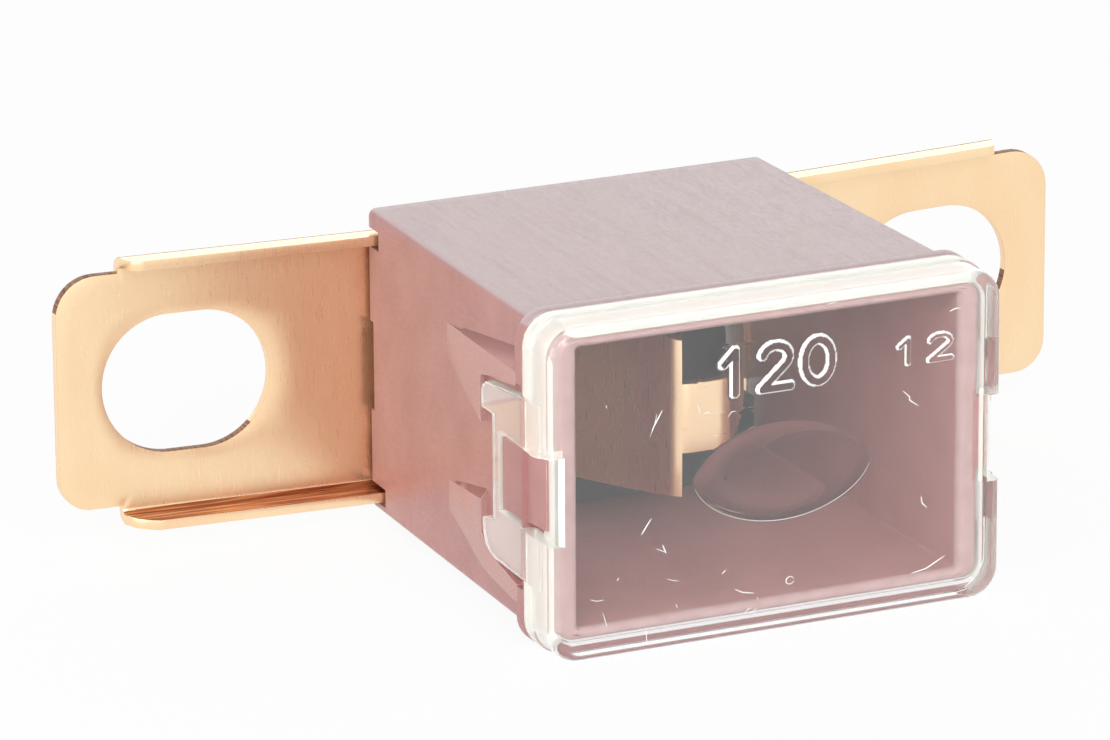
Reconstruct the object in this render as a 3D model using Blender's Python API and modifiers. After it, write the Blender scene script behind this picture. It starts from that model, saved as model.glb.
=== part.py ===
# Bolt-in main fuse with a clear window
#
# A copper strip is folded into two mounting tabs and an arch. The arch stands inside a moulded housing,
# a dark plug fills the back of the housing between the legs of the arch, and a clear cover clips on in
# front. X runs along the tabs, Y runs from the window to the back, and Z is up. The part stands on the
# lower side of the cover, with its origin under the middle of its box.

import math

import bmesh
import bpy

MM = 0.001

# Clear cover
COVER_WIDTH = 22.0 * MM
COVER_HEIGHT = 15.3 * MM
COVER_DEPTH = 22.16 * MM
COVER_DROP = 0.57 * MM
COVER_RISE = 0.49 * MM
COVER_WALL = 0.55 * MM
COVER_PLATE = 0.85 * MM
COVER_CORNER = 1.4 * MM
COVER_STEP = 0.08 * MM
COVER_LIP = 0.9 * MM
COVER_EDGE = 0.4 * MM
DISH_LENGTH = 8.5 * MM
DISH_HEIGHT = 4.45 * MM
DISH_DROP = 0.19 * MM
DISH_DEPTH = 0.32 * MM
DISH_SLOPE = 0.45 * MM

# Fits between the pieces
SEAT_GAP = 0.2 * MM
STRIP_GAP = 0.25 * MM
COVER_GAP = 0.28 * MM
PLUG_GAP = 0.3 * MM

# Moulded housing, behind and inside the cover
FLANGE_STANDOUT = 1.125 * MM
FLANGE_SETBACK = 3.56 * MM
FLANGE_THICKNESS = 0.75 * MM
RIM_SETBACK = 1.16 * MM
RIM_EDGE = 0.3 * MM
BODY_REAR_WIDTH = COVER_WIDTH - 2 * FLANGE_STANDOUT
BODY_HEIGHT = COVER_HEIGHT - COVER_DROP - COVER_RISE
BODY_DRAFT = 0.0239
BODY_EDGE = 0.35 * MM
CAVITY_CORNER = 0.35 * MM
CAVITY_DRAFT = 0.009
SIDE_WALL = 0.85 * MM
FLOOR_WALL = 0.75 * MM
JOIN_OVERLAP = 0.3 * MM
FLANGE_DEPTH = COVER_DEPTH - FLANGE_SETBACK
RIM_DEPTH = COVER_DEPTH - RIM_SETBACK
STRIP_RECESS_HEIGHT = 4.2 * MM
STRIP_RECESS_DEPTH = 0.65 * MM
STRIP_RECESS_DROP = 0.27 * MM

# Copper strip
SHEET = 0.45 * MM
TAB_SPAN = 50.0 * MM
TAB_TOP_CORNER = 1.9 * MM
TAB_BOTTOM_CORNER = 1.5 * MM
TAB_RISE = math.radians(1.5)
TAB_DROP = 0.22 * MM
TAB_NECK = 0.1 * MM
SLOT_SETBACK = 6.19 * MM
SLOT_HEIGHT = 6.5 * MM
SLOT_LENGTH = 8.12 * MM
SLOT_DROP = 0.12 * MM
LIP_MARGIN = 0.85 * MM
LIP_STANDOUT = 0.8 * MM
LIP_SETBACK = 3.0 * MM
TOP_LIP_DEPTH = 1.15 * MM
BOTTOM_LIP_DEPTH = 1.6 * MM
LIP_FOLD = 0.45 * MM
LINK_SETBACK = 4.2 * MM
LINK_HEIGHT = 3.2 * MM
LINK_FLAT = 1.16 * MM
LINK_BEND = 1.2 * MM
SHOULDER_ANGLE = math.radians(55.0)
FOOT_ANGLE = math.radians(73.0)
FOOT_BEND = 1.0 * MM
FOOT_ROOM = 0.27 * MM
LEG_HEIGHT = 7.3 * MM
LINK_DEPTH = FLANGE_DEPTH - LINK_SETBACK
STRIP_MIDDLE = BODY_HEIGHT / 2
TAB_MIDDLE = STRIP_MIDDLE - TAB_DROP
LIP_SPREAD = BODY_HEIGHT - 2 * LIP_MARGIN
TAB_HEIGHT = LIP_SPREAD - 2 * LIP_STANDOUT
LIP_REACH = TAB_SPAN / 2 - LIP_SETBACK
SLOT_MIDDLE = TAB_SPAN / 2 - SLOT_SETBACK

# Clips of the cover: depths from the flange, and heights as shares of the housing's height
CLIP_REAR = FLANGE_DEPTH - 2.3 * MM
CLIP_EAR_REAR = FLANGE_DEPTH - 3.45 * MM
WINDOW_REAR = FLANGE_DEPTH - 1.65 * MM
CLIP_TOP = 0.776 * BODY_HEIGHT
CLIP_BOTTOM = 0.1826 * BODY_HEIGHT
UPPER_EAR_TOP = 0.7409 * BODY_HEIGHT
UPPER_EAR_BOTTOM = 0.6531 * BODY_HEIGHT
LOWER_EAR_TOP = 0.2949 * BODY_HEIGHT
LOWER_EAR_BOTTOM = 0.2107 * BODY_HEIGHT
WINDOW_TOP = 0.6145 * BODY_HEIGHT
WINDOW_BOTTOM = 0.3581 * BODY_HEIGHT
CLIP_CORNER = 0.45 * MM
CLIP_FLARE = 0.1 * MM
CLIP_EAR_SLOPE = 0.2 * MM
CLIP_INSET = 0.04 * MM
CLIP_THICKNESS = 0.42 * MM
CLIP_ROOM_DEPTH = 0.8 * MM
CLIP_ROOM_GAP = 0.42 * MM
WINDOW_INSET = 0.87 * MM

# Guard ribs and catches on the housing's ends, placed in the same way
RIB_REAR = FLANGE_DEPTH - 9.2 * MM
RIB_STEP = FLANGE_DEPTH - 4.65 * MM
RIB_RIDGE_REAR = 0.8076 * BODY_HEIGHT
RIB_RIDGE_FRONT = 0.8427 * BODY_HEIGHT
RIB_HEEL = 0.6917 * BODY_HEIGHT
RIB_TOE = 0.5758 * BODY_HEIGHT
LOW_RIB_RIDGE_REAR = 0.2914 * BODY_HEIGHT
LOW_RIB_RIDGE_FRONT = 0.3301 * BODY_HEIGHT
LOW_RIB_HEEL = 0.191 * BODY_HEIGHT
LOW_RIB_KEEL = 0.1018 * BODY_HEIGHT
LOW_RIB_RISE = 0.15 * MM
CATCH_HEIGHT = 0.65 * MM
CATCH_ROOT = 0.4 * MM
CATCH_SETBACK = 0.05 * MM

# Rear plug
PLUG_FRONT = 6.2 * MM
PLUG_BAR = 1.6 * MM

# Places that follow from the sizes above
SEAT_Y = (COVER_DEPTH - SHEET) / 2
COVER_HALF = COVER_WIDTH / 2
COVER_TOP = COVER_HEIGHT - COVER_DROP
DISH_MIDDLE = BODY_HEIGHT / 2 - DISH_DROP
FLANGE_FRONT = FLANGE_DEPTH + FLANGE_THICKNESS
PLATE_REAR = COVER_DEPTH - COVER_PLATE
RIM_HALF = COVER_HALF - COVER_WALL - COVER_GAP - COVER_STEP
RIM_BOTTOM = COVER_WALL + COVER_STEP + COVER_GAP - COVER_DROP
RIM_TOP = COVER_TOP - COVER_WALL - COVER_STEP - COVER_GAP
STRIP_RECESS_MIDDLE = STRIP_MIDDLE - STRIP_RECESS_DROP
SMOOTH_ANGLE = math.radians(32.0)
EDGE_ANGLE = math.radians(40.0)
OVERCUT = 1.0 * MM
WELD_DISTANCE = 0.001 * MM
FACE_TOLERANCE = 0.01 * MM


def at_depth(depth):
    """Y of a distance in front of the tabs' front face."""
    return SEAT_Y - depth


def at_height(height):
    """Z of a height over the housing's lower face."""
    return COVER_DROP + height


def clear_scene():
    for old in list(bpy.data.objects):
        bpy.data.objects.remove(old, do_unlink=True)


def new_collection(name):
    collection = bpy.data.collections.new(name)
    bpy.context.scene.collection.children.link(collection)
    return collection


def new_material(name, colour, roughness, metallic=0.0, transmission=0.0):
    material = bpy.data.materials.new(name)
    material.use_nodes = True
    shader = material.node_tree.nodes["Principled BSDF"]
    shader.inputs["Base Color"].default_value = (*colour, 1.0)
    shader.inputs["Roughness"].default_value = roughness
    shader.inputs["Metallic"].default_value = metallic
    shader.inputs["Transmission Weight"].default_value = transmission
    material.diffuse_color = (*colour, 1.0)
    return material


def arc(centre, radius, start, end, steps):
    """Points round a centre from one angle to another, in degrees."""
    points = []
    for step in range(steps + 1):
        angle = math.radians(start + (end - start) * step / steps)
        points.append((centre[0] + radius * math.cos(angle), centre[1] + radius * math.sin(angle)))
    return points


def rounded_rectangle(half_width, bottom, top, radius, steps=6):
    """Outline of an upright rectangle about X = 0 with four round corners."""
    x = half_width - radius
    outline = arc((x, bottom + radius), radius, -90, 0, steps)
    outline += arc((x, top - radius), radius, 0, 90, steps)
    outline += arc((-x, top - radius), radius, 90, 180, steps)
    outline += arc((-x, bottom + radius), radius, 180, 270, steps)
    return outline


def extruded(name, points, low, high, rotation, collection):
    """A filled outline drawn in its own XY plane and carried along its own Z between low and high."""
    curve = bpy.data.curves.new(name, "CURVE")
    curve.dimensions = "2D"
    curve.fill_mode = "BOTH"
    curve.extrude = abs(high - low) / 2
    spline = curve.splines.new("POLY")
    spline.points.add(len(points) - 1)
    for point, (x, y) in zip(spline.points, points):
        point.co = (x, y, 0.0, 1.0)
    spline.use_cyclic_u = True
    drawn = bpy.data.objects.new(name + "_outline", curve)
    drawn.rotation_euler = rotation
    collection.objects.link(drawn)
    bpy.context.view_layer.update()
    shift = drawn.matrix_world.to_3x3().col[2] * (low + high) / 2
    drawn.location = shift
    bpy.context.view_layer.update()
    evaluated = drawn.evaluated_get(bpy.context.evaluated_depsgraph_get())
    mesh = bpy.data.meshes.new_from_object(evaluated)
    weld(mesh)
    solid = bpy.data.objects.new(name, mesh)
    solid.matrix_world = drawn.matrix_world
    collection.objects.link(solid)
    bpy.data.objects.remove(drawn, do_unlink=True)
    return solid


# Rotations that stand an outline up: a plan is carried along Z, a front view along -Y, a side view along X.
PLAN = (0.0, 0.0, 0.0)
FRONT = (math.radians(90.0), 0.0, 0.0)
SIDE = (math.radians(90.0), 0.0, math.radians(90.0))


def from_plan(name, points, bottom, top, collection):
    """A solid from (x, depth) points, between two heights over the housing's lower face."""
    outline = [(x, at_depth(depth)) for x, depth in points]
    return extruded(name, outline, at_height(bottom), at_height(top), PLAN, collection)


def from_front(name, points, rear, front, collection):
    """A solid from (x, height) points, between two depths in front of the tabs."""
    outline = [(x, at_height(height)) for x, height in points]
    return extruded(name, outline, rear - SEAT_Y, front - SEAT_Y, FRONT, collection)


def from_side(name, points, inner, outer, collection):
    """A solid from (depth, height) points, between two distances along X."""
    outline = [(at_depth(depth), at_height(height)) for depth, height in points]
    return extruded(name, outline, inner, outer, SIDE, collection)


def weld(mesh):
    """Joins the loose caps of a filled curve to its sides and points every face out."""
    work = bmesh.new()
    work.from_mesh(mesh)
    bmesh.ops.remove_doubles(work, verts=work.verts, dist=WELD_DISTANCE)
    bmesh.ops.recalc_face_normals(work, faces=work.faces)
    work.to_mesh(mesh)
    work.free()


def box(name, low, high, collection):
    """A block between two corners given as (x, depth, height)."""
    corner_a = (low[0], at_depth(low[1]), at_height(low[2]))
    corner_b = (high[0], at_depth(high[1]), at_height(high[2]))
    middle = [(a + b) / 2 for a, b in zip(corner_a, corner_b)]
    size = [abs(a - b) for a, b in zip(corner_a, corner_b)]
    mesh = bpy.data.meshes.new(name)
    work = bmesh.new()
    bmesh.ops.create_cube(work, size=1.0)
    bmesh.ops.scale(work, vec=size, verts=work.verts)
    work.to_mesh(mesh)
    work.free()
    block = bpy.data.objects.new(name, mesh)
    block.location = middle
    collection.objects.link(block)
    return block


def combine(target, tool, operation):
    """Joins, cuts or crosses a solid with another, which stays in the file as a wire guide."""
    tool.hide_render = True
    tool.display_type = "WIRE"
    modifier = target.modifiers.new(tool.name, "BOOLEAN")
    modifier.operation = operation
    modifier.solver = "EXACT"
    modifier.object = tool


def mirror_ends(target):
    """Copies what stands on the +X side to the -X side."""
    modifier = target.modifiers.new("both_ends", "MIRROR")
    modifier.use_axis = (True, False, False)
    modifier.merge_threshold = FACE_TOLERANCE
    return modifier


def baked(name, source, collection):
    """A plain mesh object in world space from an object with its modifiers."""
    bpy.context.view_layer.update()
    evaluated = source.evaluated_get(bpy.context.evaluated_depsgraph_get())
    mesh = bpy.data.meshes.new_from_object(evaluated)
    mesh.transform(source.matrix_world)
    result = bpy.data.objects.new(name, mesh)
    collection.objects.link(result)
    bpy.data.objects.remove(source, do_unlink=True)
    return result


def bevel_edges(target, chosen, width, segments):
    """Rounds the edges whose two ends both pass a test."""
    work = bmesh.new()
    work.from_mesh(target.data)
    edges = [edge for edge in work.edges if all(chosen(vertex.co) for vertex in edge.verts)]
    sharp = [edge for edge in edges if edge.calc_face_angle(0.0) > EDGE_ANGLE]
    bmesh.ops.bevel(work, geom=sharp, offset=width, segments=segments, profile=0.5, affect="EDGES",
                    clamp_overlap=True)
    work.to_mesh(target.data)
    work.free()


def finish(target, material):
    """Gives a piece its material and its smooth and sharp edges."""
    target.data.materials.clear()
    target.data.materials.append(material)
    target.data.shade_smooth()
    target.data.set_sharp_from_angle(angle=SMOOTH_ANGLE)
    normals = target.modifiers.new("face_weighted_normals", "WEIGHTED_NORMAL")
    normals.keep_sharp = True


def draft(target, half_width):
    """Moves each end of a solid out to the half width that a moulding has at its depth."""
    reach = [SEAT_Y - (target.matrix_world @ point.co).y for point in target.data.vertices]
    start = half_width(min(reach))
    for point, depth in zip(target.data.vertices, reach):
        point.co.x += math.copysign(half_width(depth) - start, point.co.x)


def body_half(depth):
    return BODY_REAR_WIDTH / 2 + BODY_DRAFT * depth


def cavity_half(depth):
    return BODY_REAR_WIDTH / 2 - SIDE_WALL + CAVITY_DRAFT * depth


def strip_path(offset):
    """Plan of the arch from its middle to a tab, and the index of the shoulder in it.

    The (x, depth) points are offset outwards from the mid-surface. The link is flat, bends down to the
    shoulder, sweeps along the leg with a slowly growing slope and turns back at the foot until it lies
    flat as the tab, just inside the wall.
    """
    link_depth = LINK_DEPTH - SHEET / 2
    tab_depth = -SHEET / 2
    bend = LINK_BEND - SHEET / 2
    foot = FOOT_BEND + SHEET / 2
    fall = link_depth - tab_depth
    fall -= bend * (1 - math.cos(SHOULDER_ANGLE)) + foot * (1 - math.cos(FOOT_ANGLE))
    sweep = fall / (math.cos(SHOULDER_ANGLE) - math.cos(FOOT_ANGLE))
    points = [(0.0, link_depth + offset)]
    x, depth = LINK_FLAT / 2, link_depth
    part_ends = []
    for radius, start, end, steps in (
        (bend, 0.0, SHOULDER_ANGLE, 6),
        (sweep, SHOULDER_ANGLE, FOOT_ANGLE, 8),
        (-foot, FOOT_ANGLE, 0.0, 7),
    ):
        for step in range(steps + 1):
            angle = start + (end - start) * step / steps
            run = radius * (math.sin(angle) - math.sin(start))
            drop = radius * (math.cos(start) - math.cos(angle))
            points.append((x + run + offset * math.sin(angle), depth - drop + offset * math.cos(angle)))
        x += radius * (math.sin(end) - math.sin(start))
        depth -= radius * (math.cos(start) - math.cos(end))
        part_ends.append(len(points) - 1)
    start = LINK_FLAT / 2
    stretch = (cavity_half(0.0) - FOOT_ROOM - start) / (x - start)
    points = [(x + max(0.0, x - start) * (stretch - 1.0), depth) for x, depth in points]
    return points, part_ends[0]


def drop_repeats(points):
    kept = [points[0]]
    for point in points[1:]:
        if math.dist(point, kept[-1]) > WELD_DISTANCE:
            kept.append(point)
    return kept


def tab_lift(x):
    """How much the tabs rise over their height at the housing's wall."""
    return math.tan(TAB_RISE) * (abs(x) - BODY_REAR_WIDTH / 2)


def tab_outline():
    """Half of the tab's front view from the foot of the arch to its round corners, as (x, height) points."""
    foot_x = strip_path(0.0)[0][-1][0]
    neck_x = cavity_half(0.0) + TAB_NECK
    fold = LIP_SPREAD / 2 - SHEET / 2 - LIP_FOLD
    half = TAB_HEIGHT / 2
    end = TAB_SPAN / 2
    lower = [(foot_x, STRIP_MIDDLE - LEG_HEIGHT / 2), (neck_x, STRIP_MIDDLE - LEG_HEIGHT / 2)]
    upper = [(neck_x, STRIP_MIDDLE + LEG_HEIGHT / 2), (foot_x, STRIP_MIDDLE + LEG_HEIGHT / 2)]
    raised = [(neck_x, -fold), (LIP_REACH, -fold), (LIP_REACH, -half)]
    raised += arc((end - TAB_BOTTOM_CORNER, TAB_BOTTOM_CORNER - half), TAB_BOTTOM_CORNER, -90, 0, 7)
    raised += arc((end - TAB_TOP_CORNER, half - TAB_TOP_CORNER), TAB_TOP_CORNER, 0, 90, 7)
    raised += [(LIP_REACH, half), (LIP_REACH, fold), (neck_x, fold)]
    return lower, [(x, TAB_MIDDLE + tab_lift(x) + z) for x, z in raised], upper


def lip_profile(depth):
    """A lip's section from the fold's start, as (depth, height) points over the fold line."""
    points = arc((LIP_FOLD - SHEET / 2, 0.0), LIP_FOLD, 180, 90, 5)
    points.append((depth, LIP_FOLD))
    return points


def make_strip(parts, tools, material):
    """The one-piece copper strip: a half sheet from the link to a tab, mirrored and given its thickness."""
    work = bmesh.new()

    def vertex(x, depth, height):
        return work.verts.new((x, at_depth(depth), at_height(height)))

    points, shoulder = strip_path(0.0)
    path = drop_repeats(points)
    link_rows = []
    leg_rows = []
    for index, (x, depth) in enumerate(path):
        inner = [vertex(x, depth, STRIP_MIDDLE + side * LINK_HEIGHT / 2) for side in (-1, 1)]
        link_rows.append(inner)
        if index >= shoulder:
            outer = [vertex(x, depth, STRIP_MIDDLE + side * LEG_HEIGHT / 2) for side in (-1, 1)]
            leg_rows.append([outer[0], *inner, outer[1]])
    for near, far in zip(link_rows[:shoulder], link_rows[1:shoulder + 1]):
        work.faces.new((near[0], far[0], far[1], near[1]))
    for near, far in zip(leg_rows, leg_rows[1:]):
        for column in range(3):
            work.faces.new((near[column], far[column], far[column + 1], near[column + 1]))

    lower, raised, upper = tab_outline()
    tab_depth = path[-1][1]
    foot = leg_rows[-1]
    ring = [foot[0], vertex(lower[1][0], tab_depth, lower[1][1])]
    ring += [vertex(x, tab_depth, height) for x, height in raised]
    ring += [vertex(upper[0][0], tab_depth, upper[0][1]), foot[3], foot[2], foot[1]]
    work.faces.new(ring)

    neck_x = lower[1][0]
    fold = LIP_SPREAD / 2 - SHEET / 2 - LIP_FOLD
    ends = (neck_x, LIP_REACH)
    for side, lip_depth in ((-1, BOTTOM_LIP_DEPTH), (1, TOP_LIP_DEPTH)):
        near = [corner for x in ends for corner in ring
                if math.dist((corner.co.x, corner.co.z),
                             (x, at_height(TAB_MIDDLE + tab_lift(x) + side * fold))) < WELD_DISTANCE]
        for depth, height in lip_profile(lip_depth)[1:]:
            far = [vertex(x, depth, TAB_MIDDLE + tab_lift(x) + side * (fold + height)) for x in ends]
            work.faces.new((near[0], near[1], far[1], far[0]))
            near = far
    bmesh.ops.recalc_face_normals(work, faces=work.faces)
    mesh = bpy.data.meshes.new("fuse_element")
    work.to_mesh(mesh)
    work.free()
    strip = bpy.data.objects.new("fuse_element", mesh)
    parts.objects.link(strip)
    mirror_ends(strip)
    thickness = strip.modifiers.new("sheet", "SOLIDIFY")
    thickness.thickness = SHEET
    thickness.offset = 0.0
    thickness.use_even_offset = True

    round_half = SLOT_HEIGHT / 2
    straight_half = SLOT_LENGTH / 2 - round_half
    for end, side in (("left", -1), ("right", 1)):
        x = side * SLOT_MIDDLE
        middle = TAB_MIDDLE + tab_lift(x) - SLOT_DROP
        slot = arc((x + straight_half, middle), round_half, -90, 90, 20)
        slot += arc((x - straight_half, middle), round_half, 90, 270, 20)
        combine(strip, from_front("slot_" + end, slot, -OVERCUT, OVERCUT, tools), "DIFFERENCE")
    finish(strip, material)
    return strip


def make_plug(parts, tools, material):
    """The dark filler between the legs, with a bar above and below them that closes the back."""
    rear = -SHEET
    path = drop_repeats(strip_path(-SHEET / 2 - STRIP_GAP)[0])
    ahead = [point for point in path if point[1] >= PLUG_FRONT]
    edge = [point for point in path if rear < point[1] < PLUG_FRONT]
    (x_a, depth_a), (x_b, depth_b) = ahead[-1], edge[0]
    front_x = x_a + (x_b - x_a) * (PLUG_FRONT - depth_a) / (depth_b - depth_a)
    half = [(front_x, PLUG_FRONT), *edge, (edge[-1][0], rear)]
    outline = half + [(-x, depth) for x, depth in reversed(half)]
    bottom = FLOOR_WALL + PLUG_GAP
    top = BODY_HEIGHT - FLOOR_WALL - PLUG_GAP
    plug = from_plan("base_plug", outline, bottom, top, parts)
    reach = cavity_half(0.0) - PLUG_GAP
    leg_bottom = STRIP_MIDDLE - LEG_HEIGHT / 2 - STRIP_GAP
    leg_top = STRIP_MIDDLE + LEG_HEIGHT / 2 + STRIP_GAP
    for name, low, high in (("lower_bar", bottom, leg_bottom), ("upper_bar", leg_top, top)):
        combine(plug, box(name, (-reach, rear, low), (reach, PLUG_BAR, high), tools), "UNION")
    finish(plug, material)
    return plug


def rib_outlines():
    """Side views of the two guard ribs, as (depth, height) points, with the pockets for the cover's ears."""
    gap = COVER_GAP
    root = FLANGE_DEPTH + JOIN_OVERLAP
    upper = [
        (RIB_REAR, RIB_RIDGE_REAR),
        (RIB_REAR, RIB_HEEL),
        (RIB_STEP, RIB_TOE),
        (RIB_STEP, UPPER_EAR_TOP),
        (CLIP_EAR_REAR, UPPER_EAR_TOP + gap),
        (root, CLIP_TOP + gap),
        (root, RIB_RIDGE_FRONT),
    ]
    lower = [
        (RIB_REAR, LOW_RIB_RIDGE_REAR),
        (RIB_STEP, LOW_RIB_RIDGE_FRONT),
        (RIB_STEP, LOWER_EAR_BOTTOM),
        (CLIP_REAR, CLIP_BOTTOM - gap),
        (root, CLIP_BOTTOM - gap),
        (root, LOW_RIB_KEEL),
        (RIB_STEP, LOW_RIB_KEEL + LOW_RIB_RISE),
        ((RIB_REAR + RIB_STEP) / 2, (LOW_RIB_HEEL + LOW_RIB_KEEL) / 2),
        (RIB_REAR, LOW_RIB_HEEL),
    ]
    return upper, lower


def make_housing(parts, tools, material):
    """The housing: a drafted tube with a flange, a rim inside the cover, ribs, catches and notches."""
    body = rounded_rectangle(body_half(SEAT_GAP), 0.0, BODY_HEIGHT, BODY_EDGE, 3)
    blank = from_front("body_blank", body, SEAT_GAP, FLANGE_DEPTH + JOIN_OVERLAP, tools)
    draft(blank, body_half)
    flange = rounded_rectangle(COVER_HALF, -COVER_DROP, COVER_TOP, COVER_CORNER)
    combine(blank, from_front("flange", flange, FLANGE_DEPTH, FLANGE_FRONT, tools), "UNION")
    rim = rounded_rectangle(RIM_HALF, RIM_BOTTOM, RIM_TOP, COVER_CORNER - COVER_WALL - COVER_GAP)
    combine(blank, from_front("rim", rim, FLANGE_FRONT - JOIN_OVERLAP, RIM_DEPTH, tools), "UNION")
    for end, side in (("left", -1), ("right", 1)):
        low = (side * (COVER_HALF - CLIP_ROOM_DEPTH), FLANGE_DEPTH - CATCH_SETBACK,
               CLIP_BOTTOM - CLIP_ROOM_GAP)
        high = (side * (COVER_HALF + OVERCUT), FLANGE_FRONT + CATCH_SETBACK, CLIP_TOP + CLIP_ROOM_GAP)
        combine(blank, box("clip_room_" + end, low, high, tools), "DIFFERENCE")
    inside = rounded_rectangle(cavity_half(-OVERCUT), FLOOR_WALL, BODY_HEIGHT - FLOOR_WALL, CAVITY_CORNER, 3)
    cavity = from_front("cavity", inside, -OVERCUT, RIM_DEPTH + OVERCUT, tools)
    draft(cavity, cavity_half)
    combine(blank, cavity, "DIFFERENCE")
    housing = baked("housing", blank, parts)
    bevel_edges(housing, lambda place: abs(place.y - at_depth(RIM_DEPTH)) < FACE_TOLERANCE, RIM_EDGE, 3)

    # Guard ribs rise from the wall towards the flange and stop in front of the cover's ears.
    for end, side in (("left", -1), ("right", 1)):
        root = FLANGE_DEPTH + JOIN_OVERLAP
        wedge = [(side * (body_half(RIB_REAR) - JOIN_OVERLAP), RIB_REAR - JOIN_OVERLAP),
                 (side * (body_half(RIB_REAR) - CATCH_SETBACK), RIB_REAR - JOIN_OVERLAP),
                 (side * (COVER_HALF - 2 * CLIP_INSET), root),
                 (side * (body_half(FLANGE_DEPTH) - JOIN_OVERLAP), root)]
        for level, outline in zip(("upper", "lower"), rib_outlines()):
            bottom = min(height for depth, height in outline) - OVERCUT
            top = max(height for depth, height in outline) + OVERCUT
            rib = from_plan(f"{level}_rib_{end}", wedge, bottom, top, tools)
            face = from_side(f"{level}_rib_face_{end}", outline, side * (RIM_HALF - OVERCUT),
                             side * (COVER_HALF + OVERCUT), tools)
            combine(rib, face, "INTERSECT")
            combine(housing, rib, "UNION")

        # The catch is a ramp in the clip's window, with its step at the rear behind the clip's bar.
        ramp = [(side * (RIM_HALF - CATCH_ROOT), WINDOW_REAR + COVER_GAP),
                (side * (body_half(WINDOW_REAR) + CATCH_HEIGHT), WINDOW_REAR + COVER_GAP),
                (side * (RIM_HALF + CATCH_ROOT), RIM_DEPTH - CATCH_SETBACK),
                (side * (RIM_HALF - CATCH_ROOT), RIM_DEPTH - CATCH_SETBACK)]
        catch = from_plan("catch_" + end, ramp, WINDOW_BOTTOM + COVER_GAP, WINDOW_TOP - COVER_GAP, tools)
        combine(housing, catch, "UNION")

        # The rear edge of each wall is open for the strip's fold and for the two lips of the tab.
        inner = side * (cavity_half(0.0) - JOIN_OVERLAP)
        outer = side * (body_half(0.0) + OVERCUT)
        recess_low = STRIP_RECESS_MIDDLE - STRIP_RECESS_HEIGHT / 2
        recess = box("strip_recess_" + end, (inner, -OVERCUT, recess_low),
                     (outer, STRIP_RECESS_DEPTH, recess_low + STRIP_RECESS_HEIGHT), tools)
        combine(housing, recess, "DIFFERENCE")
        lip_middle = LIP_SPREAD / 2 - SHEET / 2
        for level, sign, depth in (("lower", -1, BOTTOM_LIP_DEPTH), ("upper", 1, TOP_LIP_DEPTH)):
            middle = TAB_MIDDLE + sign * lip_middle
            room = SHEET / 2 + STRIP_GAP
            notch = box(f"{level}_lip_notch_{end}", (inner, -OVERCUT, middle - room),
                        (outer, depth + STRIP_GAP, middle + room), tools)
            combine(housing, notch, "DIFFERENCE")
    finish(housing, material)
    return housing


def clip_outline():
    """Side view of a clip with its two ears, as (depth, height) points from the skirt's rear edge."""
    outline = [(PLATE_REAR, CLIP_BOTTOM)]
    outline += [(CLIP_REAR + CLIP_CORNER, CLIP_BOTTOM + CLIP_FLARE)]
    outline += arc((CLIP_EAR_REAR + CLIP_CORNER, LOWER_EAR_BOTTOM + CLIP_CORNER), CLIP_CORNER, 250, 180, 4)
    outline += [(CLIP_EAR_REAR, LOWER_EAR_TOP), (CLIP_REAR, LOWER_EAR_TOP + CLIP_EAR_SLOPE)]
    outline += [(CLIP_REAR, UPPER_EAR_BOTTOM), (CLIP_EAR_REAR, UPPER_EAR_BOTTOM)]
    small = CLIP_CORNER / 2
    outline += arc((CLIP_EAR_REAR + small, UPPER_EAR_TOP - CLIP_CORNER), small, 180, 100, 3)
    outline += [(FLANGE_DEPTH, CLIP_TOP - CLIP_FLARE), (PLATE_REAR, CLIP_TOP)]
    return outline


def dish_outline(length, height, steps=12):
    """An almond of two equal arcs, as (x, height) points."""
    sag = height / 2
    radius = (length * length / 4 + sag * sag) / (2 * sag)
    spread = math.degrees(math.asin(length / 2 / radius))
    upper = arc((0.0, DISH_MIDDLE + sag - radius), radius, 90 - spread, 90 + spread, steps)
    lower = arc((0.0, DISH_MIDDLE - sag + radius), radius, 270 - spread, 270 + spread, steps)
    return upper[:-1] + lower[:-1]


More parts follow.
